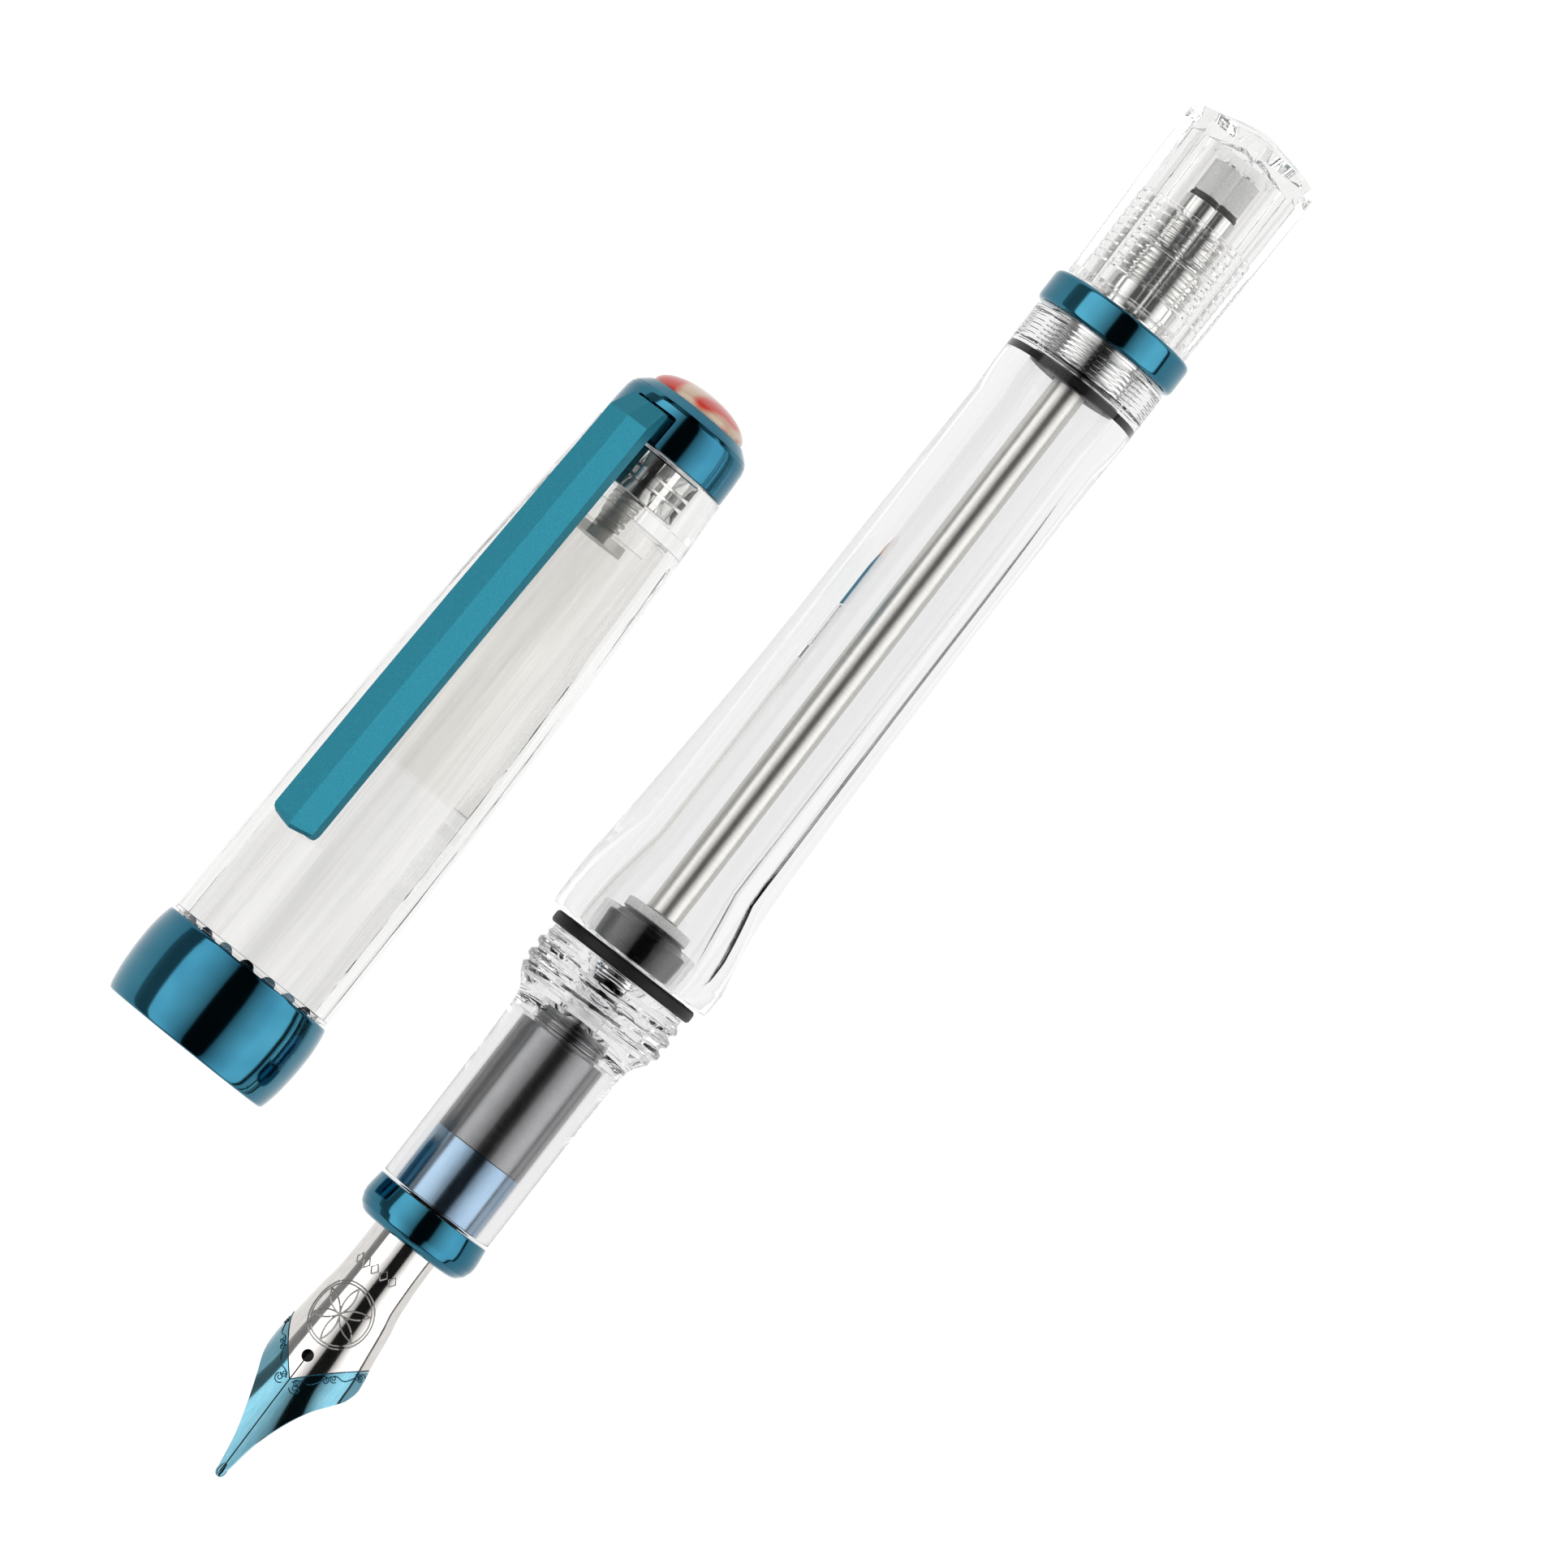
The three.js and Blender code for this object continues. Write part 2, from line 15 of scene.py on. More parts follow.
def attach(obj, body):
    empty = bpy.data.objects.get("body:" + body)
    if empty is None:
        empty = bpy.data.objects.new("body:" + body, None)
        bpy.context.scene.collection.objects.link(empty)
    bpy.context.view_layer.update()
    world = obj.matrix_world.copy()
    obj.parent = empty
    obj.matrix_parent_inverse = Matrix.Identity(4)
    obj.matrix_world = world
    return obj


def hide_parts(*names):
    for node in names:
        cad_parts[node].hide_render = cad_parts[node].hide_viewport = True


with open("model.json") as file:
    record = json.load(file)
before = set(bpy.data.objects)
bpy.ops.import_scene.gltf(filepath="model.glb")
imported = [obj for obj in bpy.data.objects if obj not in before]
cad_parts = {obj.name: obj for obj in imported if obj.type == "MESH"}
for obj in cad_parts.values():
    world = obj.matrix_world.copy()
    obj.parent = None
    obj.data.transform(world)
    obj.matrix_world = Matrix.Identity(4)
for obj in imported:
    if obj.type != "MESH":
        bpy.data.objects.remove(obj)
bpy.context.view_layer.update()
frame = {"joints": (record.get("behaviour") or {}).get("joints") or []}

MM = 0.001
TAU = 2 * math.pi
JOINTS = {joint["name"]: joint for joint in frame["joints"]}


# ---------------------------------------------------------------- spaces

def axis_space(joint_name, station):
    """From a piece's own space to the row frame. The joint's point lies at that station."""
    joint = JOINTS[joint_name]
    x = Vector(joint["axis"]).normalized()
    y = Vector((0, 0, 1)).cross(x).normalized()
    z = x.cross(y)
    turn = Matrix((x, y, z)).transposed().to_4x4()
    return Matrix.Translation(Vector(joint["pos_m"]) - x * station * MM) @ turn


PEN = axis_space("section_turn", 50)
CAP = axis_space("cap_turn", 0)
NIB_ROLL = math.radians(-16)
NIB = PEN @ Matrix.Rotation(NIB_ROLL, 4, "X")
CLIP_ROLL = math.radians(-29)
CLIP = CAP @ Matrix.Rotation(CLIP_ROLL, 4, "X")


# ---------------------------------------------------------------- outlines

def through(points):
    """A smooth function through (x, value) points that never overshoots them."""
    xs = [p[0] for p in points]
    ys = [p[1] for p in points]
    slopes = [(ys[i + 1] - ys[i]) / (xs[i + 1] - xs[i]) for i in range(len(xs) - 1)]
    tangents = [slopes[0]]
    for before, after in zip(slopes, slopes[1:]):
        same_way = before * after > 0
        tangents.append(2 * before * after / (before + after) if same_way else 0)
    tangents.append(slopes[-1])

    def value(x):
        x = min(max(x, xs[0]), xs[-1])
        i = max(k for k in range(len(xs) - 1) if xs[k] <= x or k == 0)
        width = xs[i + 1] - xs[i]
        t = (x - xs[i]) / width
        rest = 1 - t
        return (
            ys[i] * rest * rest * (1 + 2 * t) + ys[i + 1] * t * t * (3 - 2 * t)
            + width * (tangents[i] * t * rest * rest - tangents[i + 1] * t * t * rest)
        )
    return value


def straight(points):
    """Straight lines through (x, value) points, as a function."""
    def value(x):
        for (x0, y0), (x1, y1) in zip(points, points[1:]):
            if x <= x1:
                return y0 + (y1 - y0) * (x - x0) / (x1 - x0)
        return points[-1][1]
    return value


def sampled(function, start, end, step):
    """Points of a function from start to end, in either direction."""
    count = max(1, round(abs(end - start) / step))
    stations = [start + (end - start) * i / count for i in range(count + 1)]
    return [(x, function(x)) for x in stations]


def arc(x, r, radius, start, end, steps=10):
    """Points of an arc in the (x, r) plane, angles in degrees from +x towards +r."""
    angles = [math.radians(start + (end - start) * i / steps) for i in range(steps + 1)]
    return [(x + radius * math.cos(a), r + radius * math.sin(a)) for a in angles]


def eased(outline, size=0.1, steps=4):
    """The outline with each sharp corner rounded off."""
    looped = outline[0][1] > 0 or outline[-1][1] > 0
    points = [Vector(p) for p in outline]
    result = []
    for i, corner in enumerate(points):
        if not looped and i in (0, len(points) - 1):
            result.append(tuple(corner))
            continue
        before, after = points[i - 1] - corner, points[(i + 1) % len(points)] - corner
        turn = before.angle(-after, 0)
        if turn < math.radians(12):
            result.append(tuple(corner))
            continue
        first = corner + before.normalized() * min(size, before.length * 0.45)
        last = corner + after.normalized() * min(size, after.length * 0.45)
        for k in range(steps + 1):
            t = k / steps
            point = first * (1 - t) ** 2 + corner * 2 * t * (1 - t) + last * t * t
            result.append(tuple(point))
    return result


# ---------------------------------------------------------------- shaping round the axis

def screw_thread(start, end, pitch, root, crest, lead=0.7):
    """A helical ridge between two stations, for the surface whose plain radius is root."""
    def shape(x, r, angle):
        if not start <= x <= end or abs(r - root) > 0.02:
            return r
        turn = ((x - start) / pitch - angle / TAU) % 1
        ridge = min(1, max(0, (0.42 - abs(turn - 0.5)) / 0.24))
        fade = min(1, (x - start) / lead, (end - x) / lead)
        return root + (crest - root) * ridge * fade
    return shape


# ---------------------------------------------------------------- meshes

def mesh_from(name, vertices, faces, sharp=32):
    mesh = bpy.data.meshes.new(name)
    mesh.from_pydata([Vector(v) * MM for v in vertices], [], faces)
    tidy = bmesh.new()
    tidy.from_mesh(mesh)
    bmesh.ops.remove_doubles(tidy, verts=tidy.verts, dist=1e-8)
    bmesh.ops.recalc_face_normals(tidy, faces=tidy.faces)
    tidy.to_mesh(mesh)
    tidy.free()
    mesh.shade_smooth()
    mesh.set_sharp_from_angle(angle=math.radians(sharp))
    return mesh


def turned(name, outline, shapes=(), steps=144, sharp=32, ring=None):
    """A body turned about x from (station, radius) points, then shaped round the axis."""
    def plain_ring(x, r):
        points = []
        for k in range(steps):
            angle, radius = TAU * k / steps, r
            for shape in shapes:
                radius = shape(x, radius, angle)
            points.append((x, angle, radius))
        return points

    make_ring = ring or plain_ring
    vertices, rings = [], []
    for x, r in outline:
        points = make_ring(x, r) if r > 0 else [(x, 0, 0)]
        rings.append(range(len(vertices), len(vertices) + len(points)))
        vertices += [(px, -pr * math.sin(pa), pr * math.cos(pa)) for px, pa, pr in points]
    looped = len(rings[0]) > 1 or len(rings[-1]) > 1
    pairs = list(zip(rings, [*rings[1:], rings[0]] if looped else rings[1:]))
    faces = []
    for one, two in pairs:
        size = max(len(one), len(two))
        for k in range(size):
            n = (k + 1) % size
            corners = (one[k % len(one)], one[n % len(one)], two[n % len(two)], two[k % len(two)])
            face = tuple(dict.fromkeys(corners))
            if len(face) > 2:
                faces.append(face)
    return mesh_from(name, vertices, faces, sharp)


def lofted(name, loops, sharp=32):
    """A body through closed loops of points, with flat ends."""
    size = len(loops[0])
    vertices = [point for loop in loops for point in loop]
    faces = [tuple(range(size))[::-1], tuple(range(len(vertices) - size, len(vertices)))]
    for i in range(len(loops) - 1):
        for k in range(size):
            n = (k + 1) % size
            faces.append((i * size + k, i * size + n, (i + 1) * size + n, (i + 1) * size + k))
    return mesh_from(name, vertices, faces, sharp)


def wires(name, paths, radius, sides=6):
    """Fine round wires along lists of points, as one mesh."""
    vertices, faces = [], []
    for path in paths:
        points = [Vector(p) for p in path]
        first = len(vertices)
        for i, point in enumerate(points):
            ahead = points[min(i + 1, len(points) - 1)] - points[max(i - 1, 0)]
            side = ahead.orthogonal().normalized()
            up = side.cross(ahead).normalized()
            for k in range(sides):
                angle = TAU * k / sides
                offset = side * math.cos(angle) + up * math.sin(angle)
                vertices.append(point + offset * radius)
        for i in range(len(points) - 1):
            for k in range(sides):
                n = (k + 1) % sides
                row = first + i * sides
                faces.append((row + k, row + n, row + sides + n, row + sides + k))
        faces.append(tuple(range(first, first + sides))[::-1])
        faces.append(tuple(range(len(vertices) - sides, len(vertices))))
    return mesh_from(name, vertices, faces, 60)


def box_mesh(name, low, high):
    """A plain block between two opposite corners."""
    (x0, y0, z0), (x1, y1, z1) = low, high
    section = [(y0, z0), (y1, z0), (y1, z1), (y0, z1)]
    return lofted(name, [[(x, y, z) for y, z in section] for x in (x0, x1)])


def combined(mesh, others, operation):
    """A mesh cut by or joined with others, by an exact boolean."""
    work = bpy.data.objects.new("work", mesh)
    bpy.context.scene.collection.objects.link(work)
    tools = []
    for other in others:
        tool = bpy.data.objects.new("tool", other)
        bpy.context.scene.collection.objects.link(tool)
        modifier = work.modifiers.new("cut", "BOOLEAN")
        modifier.operation = operation
        modifier.solver = "EXACT"
        modifier.object = tool
        tools.append(tool)
    result = evaluated(work)
    for item in (work, *tools):
        bpy.data.objects.remove(item)
    return result


def evaluated(item):
    """The mesh of an object with its modifiers applied."""
    graph = bpy.context.evaluated_depsgraph_get()
    graph.update()
    return bpy.data.meshes.new_from_object(item.evaluated_get(graph))


def bevelled(mesh, width, angle=25, segments=3):
    """A mesh with its sharp edges rounded off."""
    work = bpy.data.objects.new("work", mesh)
    bpy.context.scene.collection.objects.link(work)
    modifier = work.modifiers.new("round", "BEVEL")
    modifier.width = width * MM
    modifier.segments = segments
    modifier.limit_method = "ANGLE"
    modifier.angle_limit = math.radians(angle)
    modifier.harden_normals = False
    result = evaluated(work)
    bpy.data.objects.remove(work)
    result.shade_smooth()
    result.set_sharp_from_angle(angle=math.radians(angle))
    return result


def place(name, mesh, space, material, body, nodes=()):
    """Put a piece in the scene, riding on its body and standing for its CAD nodes."""
    mesh.materials.clear()
    mesh.materials.append(material)
    piece = bpy.data.objects.new(f"{name}_detailed", mesh)
    bpy.context.scene.collection.objects.link(piece)
    piece.matrix_world = space
    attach(piece, body)
    if nodes:
        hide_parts(*nodes)
    return piece


# ---------------------------------------------------------------- materials

class Finish:
    """A material with a Principled shader, and short ways to add nodes to it."""

    def __init__(self, name):
        self.material = bpy.data.materials.new(name)
        self.material.use_nodes = True
        self.tree = self.material.node_tree
        self.shader = self.tree.nodes["Principled BSDF"]
        self.coordinates = self.tree.nodes.new("ShaderNodeTexCoord").outputs["Object"]

    def set(self, **values):
        for key, value in values.items():
            self.shader.inputs[key.replace("_", " ")].default_value = value

    def link(self, output, node, key):
        self.tree.links.new(output, node.inputs[key])

    def scaled(self, x, y, z):
        node = self.tree.nodes.new("ShaderNodeMapping")
        node.inputs["Scale"].default_value = (x, y, z)
        self.link(self.coordinates, node, "Vector")
        return node.outputs["Vector"]

    def noise(self, scale=(1, 1, 1), size=1.0, detail=3.0, roughness=0.5, distortion=0.0):
        """Noise with features of about size millimetres, stretched by scale."""
        node = self.tree.nodes.new("ShaderNodeTexNoise")
        self.link(self.scaled(*scale), node, "Vector")
        node.inputs["Scale"].default_value = 1 / (size * MM)
        node.inputs["Detail"].default_value = detail
        node.inputs["Roughness"].default_value = roughness
        node.inputs["Distortion"].default_value = distortion
        return node.outputs["Fac"]

    def ramp(self, factor, *stops):
        node = self.tree.nodes.new("ShaderNodeValToRGB")
        self.link(factor, node, "Fac")
        elements = node.color_ramp.elements
        while len(elements) < len(stops):
            elements.new(0.5)
        for element, (position, colour) in zip(elements, stops):
            element.position = position
            element.color = (*colour, 1)
        return node.outputs["Color"]

    def range(self, factor, low, high):
        node = self.tree.nodes.new("ShaderNodeMapRange")
        self.link(factor, node, "Value")
        node.inputs["To Min"].default_value = low
        node.inputs["To Max"].default_value = high
        return node.outputs["Result"]

    def bump(self, height, distance):
        """A bump whose full height is distance millimetres."""
        node = self.tree.nodes.new("ShaderNodeBump")
        node.inputs["Distance"].default_value = distance * MM
        self.link(height, node, "Height")
        return node.outputs["Normal"]

    def use(self, output, key):
        self.link(output, self.shader, key)


def clear_acrylic(name, tint, waviness, haze=0.0, index=1.49, streak=0.015):
    """Polished clear plastic with the faint lengthwise drawing lines of a moulded, polished tube."""
    finish = Finish(name)
    finish.set(Transmission_Weight=1.0, IOR=index, Specular_Tint=(0.55, 0.55, 0.55, 1))
    streaks = finish.noise(scale=(0.04, 1, 1), size=1.2, detail=3)
    darker = tuple(channel * (1 - streak) for channel in tint)
    lighter = tuple(min(1, channel * (1 + streak)) for channel in tint)
    finish.use(finish.ramp(streaks, (0.38, darker), (0.62, lighter)), "Base Color")
    finish.use(finish.bump(streaks, waviness), "Normal")
    finish.use(finish.range(finish.noise(size=3), haze, haze + 0.015), "Roughness")
    return finish.material


def plated(name, deep, light, roughness=0.06):
    """Mirror plating over polished metal: its colour drifts a little, with hairline wear."""
    finish = Finish(name)
    drift = finish.noise(size=6, detail=2)
    finish.use(finish.ramp(drift, (0.35, deep), (0.65, light)), "Base Color")
    finish.set(Metallic=1.0)
    wear = finish.noise(scale=(0.15, 1, 1), size=0.25, detail=4)
    finish.use(finish.range(wear, roughness, roughness * 2), "Roughness")
    finish.use(finish.bump(finish.noise(size=2.5), 0.002), "Normal")
    return finish.material


def satin_plating():
    """Bead-blasted plating: a fine sparkling grain."""
    finish = Finish("satin_teal_plating")
    deep, light = (0.018, 0.165, 0.235), (0.042, 0.265, 0.345)
    grain = finish.noise(size=0.09, detail=3, roughness=0.7)
    finish.use(finish.ramp(grain, (0.3, deep), (0.7, light)), "Base Color")
    finish.set(Metallic=1.0)
    finish.use(finish.range(grain, 0.4, 0.56), "Roughness")
    finish.use(finish.bump(grain, 0.012), "Normal")
    return finish.material


def turned_steel(name, light, roughness, ring=0.05, depth=0.003):
    """Lathe-turned steel: fine tool rings round the axis."""
    finish = Finish(name)
    rings = finish.noise(scale=(1, 0.01, 0.01), size=ring, detail=4, roughness=0.7)
    dark = tuple(channel * 0.82 for channel in light)
    finish.use(finish.ramp(rings, (0.3, dark), (0.7, light)), "Base Color")
    finish.set(Metallic=1.0)
    finish.use(finish.range(rings, roughness * 0.8, roughness * 1.3), "Roughness")
    finish.use(finish.bump(rings, depth), "Normal")
    return finish.material


def moulded(name, colour, roughness, grain=0.15, depth=0.004):
    """Moulded rubber or plastic with a fine grain."""
    finish = Finish(name)
    speckle = finish.noise(size=grain, detail=4)
    lighter = tuple(min(1, channel * 1.35 + 0.004) for channel in colour)
    finish.use(finish.ramp(speckle, (0.35, colour), (0.7, lighter)), "Base Color")
    finish.use(finish.range(speckle, roughness - 0.08, roughness + 0.08), "Roughness")
    finish.use(finish.bump(speckle, depth), "Normal")
    finish.set(Specular_IOR_Level=0.22)
    return finish.material


def nib_metal():
    """Polished steel with a teal-plated point that ends in a V behind the slit's end."""
    finish = Finish("two_tone_nib")
    nodes, tree = finish.tree.nodes, finish.tree
    split = nodes.new("ShaderNodeSeparateXYZ")
    tree.links.new(finish.coordinates, split.inputs["Vector"])

    def maths(operation, a, b):
        node = nodes.new("ShaderNodeMath")
        node.operation = operation
        for socket, value in zip(node.inputs, (a, b)):
            if isinstance(value, (int, float)):
                socket.default_value = value
            else:
                tree.links.new(value, socket)
        return node.outputs["Value"]

    side = maths("ABSOLUTE", split.outputs["Y"], 0)
    edge = maths("ADD", maths("MULTIPLY", side, PLATING_SLOPE), PLATING_POINT * MM)
    behind = maths("GREATER_THAN", split.outputs["X"], edge)
    polish = finish.noise(scale=(0.2, 1, 1), size=0.2, detail=4)
    steel = finish.ramp(polish, (0.3, (0.62, 0.6, 0.58)), (0.7, (0.74, 0.72, 0.7)))
    teal = finish.ramp(polish, (0.3, (0.11, 0.27, 0.34)), (0.7, (0.15, 0.32, 0.39)))
    blend = nodes.new("ShaderNodeMix")
    blend.data_type = "RGBA"
    tree.links.new(behind, blend.inputs["Factor"])
    colours = {socket.name: socket for socket in blend.inputs if socket.type == "RGBA"}
    tree.links.new(teal, colours["A"])
    tree.links.new(steel, colours["B"])
    finish.use(next(socket for socket in blend.outputs if socket.type == "RGBA"), "Base Color")
    finish.set(Metallic=1.0)
    finish.use(finish.range(polish, 0.05, 0.14), "Roughness")
    finish.use(finish.bump(finish.noise(size=2), 0.002), "Normal")
    return finish.material


def jewel_resin():
    """Clear-coated red resin with cream and crimson veins."""
    finish = Finish("red_jewel_resin")
    veins = finish.noise(scale=(1, 1, 0.45), size=4.2, detail=1, roughness=0.25, distortion=0.6)
    colours = finish.ramp(
        veins, (0.38, (0.1, 0.012, 0.016)), (0.43, (0.4, 0.016, 0.012)), (0.54, (0.58, 0.04, 0.024)),
        (0.57, (0.58, 0.42, 0.3)), (0.61, (0.6, 0.46, 0.34)), (0.64, (0.46, 0.025, 0.016)))
    finish.use(colours, "Base Color")
    finish.use(finish.range(finish.noise(size=0.4), 0.25, 0.4), "Roughness")
    finish.set(Coat_Weight=0.6, Coat_Roughness=0.05, Coat_IOR=1.45)
    return finish.material


PLATING_POINT = 9.3     # station of the V's point on the nib
PLATING_SLOPE = 1.04    # how far the V runs back for each step to the side

FINISHES = {
    "barrel": clear_acrylic("clear_barrel_acrylic", (0.88, 0.88, 0.88), 0.003),
    "grip": clear_acrylic("clear_grip_acrylic", (0.82, 0.82, 0.825), 0.002),
    "knob": clear_acrylic("clear_knob_acrylic", (0.86, 0.857, 0.85), 0.002),
    "cap": clear_acrylic("clear_cap_acrylic", (0.885, 0.882, 0.875), 0.04, streak=0.07),
    "liner": clear_acrylic("milky_liner_plastic", (0.965, 0.96, 0.945), 0.01, haze=0.07, index=1.1),
    "teal": plated("teal_mirror_plating", (0.024, 0.125, 0.195), (0.038, 0.175, 0.25)),
    "blue": plated("blue_mirror_plating", (0.25, 0.37, 0.5), (0.33, 0.47, 0.6), 0.12),
    "satin": satin_plating(),
    "nib": nib_metal(),
    "engraving": plated("engraved_line_metal", (0.28, 0.27, 0.26), (0.36, 0.35, 0.34), 0.32),
    "scroll": plated("engraved_plating_line", (0.008, 0.045, 0.075), (0.014, 0.07, 0.11), 0.12),
    "rod": turned_steel("ground_rod_steel", (0.74, 0.73, 0.7), 0.32, 0.12, 0.001),
    "steel": turned_steel("turned_collar_steel", (0.7, 0.7, 0.69), 0.16),
    "screw": turned_steel("bright_screw_steel", (0.82, 0.82, 0.8), 0.5),
    "dark": turned_steel("dark_satin_sleeve", (0.26, 0.26, 0.264), 0.24, 0.3, 0.0003),
    "rubber": moulded("black_ring_rubber", (0.002, 0.002, 0.0025), 0.5),
    "rubber_shine": moulded("black_piston_rubber", (0.004, 0.004, 0.005), 0.3),
    "feed": moulded("black_feed_plastic", (0.01, 0.01, 0.011), 0.4),
    "white": moulded("pale_washer_plastic", (0.8, 0.8, 0.78), 0.35),
    "jewel": jewel_resin(),
}


# ---------------------------------------------------------------- rings of points round the axis

def flatted_ring(count, facing, distance, least, flat_columns=9, round_columns=3):
    """A ring maker with plane flats, whose columns of points follow the flats' edges."""
    half = math.pi / count
    even = half * flat_columns / (flat_columns + round_columns)

    def ring(x, r):
        near = distance(x)
        cut = r > least and near < r
        edge = min(max(math.acos(near / r), 0.01), half - 0.004) if cut else 0.01
        if r <= least:
            edge = even
        offsets = [edge * i / flat_columns for i in range(flat_columns + 1)]
        offsets += [edge + (half - edge) * i / round_columns for i in range(1, round_columns)]
        whole = [-half] + [-o for o in reversed(offsets[1:])] + offsets
        points = []
        for flat in range(count):
            middle = math.radians(facing) + flat * 2 * half
            for off in whole:
                on_flat = cut and abs(off) <= edge + 1e-9
                points.append((x, middle + off, near / math.cos(off) if on_flat else r))
        return points
    return ring


def facet_ring(count, distance, start, end, columns=8):
    """A ring maker with flat facets inside a bore."""
    pitch = TAU / count

    def ring(x, r):
        points = []
        inside = r < distance(x) + 0.4 and start <= x <= end
        for k in range(count * columns):
            off = ((k % columns) / columns - 0.5) * pitch
            near = min(r, distance(x) / math.cos(off)) if inside else r
            points.append((x, pitch * (k // columns) + off, near))
        return points
    return ring


# ---------------------------------------------------------------- nib and feed

NIB_HALF = through([
    (0.2, 0.26), (0.7, 0.38), (3.3, 0.84), (5.8, 1.63), (8.3, 2.72), (9.6, 3.5), (10.6, 3.94), (11.6, 4.07),
    (12.4, 4.0), (13.7, 3.8), (16.7, 3.42), (18.3, 3.14), (22, 2.98), (25.8, 2.98)])
NIB_RADIUS = through([
    (0.2, 9), (3.3, 8), (5.8, 6.4), (8.3, 4.9), (10.2, 4.25), (11.6, 4.2), (13.7, 3.92), (16.7, 3.5),
    (18.3, 3.2), (22, 3.06), (25.8, 3.05)])
NIB_TOP = through([
    (0.2, 2.64), (3.3, 2.82), (8.3, 3.06), (12.1, 3.15), (16.7, 3.12), (22, 3.05), (25.8, 3.05)])
NIB_SHEET = 0.28
NIB_STEEPEST = 0.985    # sine of the furthest that the sheet may wrap round
BREATHER = (11.6, 0.5)  # station and radius
SLIT = 0.1


def on_nib(x, s, lift=0.0):
    """The point on the nib's outer face at arc length s from its middle line, or a little above it."""
    radius = NIB_RADIUS(x)
    angle, r = s / radius, radius + lift
    return (x, r * math.sin(angle), NIB_TOP(x) - radius + r * math.cos(angle))


def nib_wrap(x):
    """Angle from the nib's middle line to its edge."""
    return math.asin(min(NIB_STEEPEST, NIB_HALF(x) / NIB_RADIUS(x)))


def nib_reach(x):
    """Arc length from the nib's middle line to its edge."""
    return NIB_RADIUS(x) * nib_wrap(x)


def nib_loop(x):
    """The nib's section: an arched sheet with rounded edges."""
    radius, top, reach = NIB_RADIUS(x), NIB_TOP(x), nib_wrap(x)
    angles = [reach * (1 - 2 * i / 40) for i in range(41)]
    sheet = min(NIB_SHEET, 0.2 + 0.05 * x)

    def point(r, angle):
        return (x, r * math.sin(angle), top - radius + r * math.cos(angle))
    edge = 0.05 / radius
    outer = [point(radius, a * (1 - edge / reach)) for a in angles]
    inner = [point(radius - sheet, a * (1 - edge / reach)) for a in reversed(angles)]
    left = [point(radius - sheet * t, -reach) for t in (0.2, 0.5, 0.8)]
    right = [point(radius - sheet * t, reach) for t in (0.8, 0.5, 0.2)]
    return outer + left + inner + right


def make_nib():
    front, back, rows = 0.25, 25.8, 110
    sheet = lofted("nib", [nib_loop(front + (back - front) * i / rows) for i in range(rows + 1)])
    slit = box_mesh("slit", (-1, -SLIT / 2, 1.5), (BREATHER[0], SLIT / 2, 4))
    drill = turned("drill", [(1.5, 0), (1.5, BREATHER[1]), (4, BREATHER[1]), (4, 0)], steps=48)
    drill.transform(Matrix.Translation((BREATHER[0] * MM, 0, 0)) @ Matrix.Rotation(-TAU / 4, 4, "Y"))
    cut = combined(sheet, [slit, drill], "DIFFERENCE")
    cut.shade_smooth()
    cut.set_sharp_from_angle(angle=math.radians(28))
    place("nib", cut, NIB, FINISHES["nib"], "nib_unit", ["nib"])

    # Painted shade: a thin strip of the black rubber material sunk just under the top of the slit, standing
    # in for the shadow in the closed slit.
    half, depth = 0.052, 0.12
    line = [(x, NIB_TOP(x) - 0.1) for x in (0.5 + 0.37 * i for i in range(31))]
    slit_painted_shade = lofted("nib_slit_painted_shade", [
        [(x, -half, z - depth), (x, half, z - depth), (x, half, z), (x, -half, z)] for x, z in line])
    place("nib_slit_painted_shade", slit_painted_shade, NIB, FINISHES["rubber"], "nib_unit")

    outline = [(0.0, 0.0), (0.04, 0.16), (0.14, 0.29), (0.32, 0.39), (0.55, 0.43), (0.8, 0.4), (1.1, 0.3),
               (1.5, 0.14), (1.7, 0)]
    bead = turned("bead", outline, steps=48, sharp=60)
    bead.transform(Matrix.Translation((0.02 * MM, 0, 2.5 * MM)) @ Matrix.Diagonal((1, 1, 0.85, 1)))
    bead = combined(bead, [box_mesh("cut", (-1, -SLIT / 2, 1), (3, SLIT / 2, 4))], "DIFFERENCE")
    bead.shade_smooth()
    bead.set_sharp_from_angle(angle=math.radians(40))
    place("nib_tipping", bead, NIB, FINISHES["nib"], "nib_unit")


def curl(x, y, radius, start, sweep, shrink=0.75, steps=14):
    """A curled line that starts at a point and winds in on itself."""
    heading, here = math.radians(start), Vector((x, y))
    points, step = [tuple(here)], math.radians(abs(sweep)) * radius / steps
    for i in range(steps):
        bend = step / (radius * (1 - shrink * i / steps))
        heading += math.copysign(bend, sweep)
        here = here + Vector((math.cos(heading), math.sin(heading))) * step
        points.append(tuple(here))
    return points


def circle(x, y, radius, start=0, sweep=360, steps=40):
    angles = [math.radians(start + sweep * i / steps) for i in range(steps + 1)]
    return [(x + radius * math.cos(a), y + radius * math.sin(a)) for a in angles]


def plating_edge(s):
    """Where the plating ends at arc length s from the nib's middle line."""
    radius = NIB_RADIUS(11)
    return PLATING_POINT + PLATING_SLOPE * radius * math.sin(min(abs(s) / radius, TAU / 4))


def vine(side):
    """A scrolled vine that runs beside the edge of the plating, out to the nib's shoulder."""
    stations = [0.3 + 0.05 * i for i in range(105)]
    paths = [[(plating_edge(s) - 0.62 + 0.3 * math.sin(TAU * s / 2.1), s) for s in stations]]
    for i in range(5):
        s = 0.95 + i * 1.05
        back, heading = (0.95, 200) if i % 2 == 0 else (0.3, 20)
        paths.append(curl(plating_edge(s) - back, s, 0.34, heading, 290, steps=18))
    paths.append(curl(PLATING_POINT - 0.55, 0.36, 0.5, 150, -300, steps=22))
    return [[(x, s * side) for x, s in path] for path in paths]


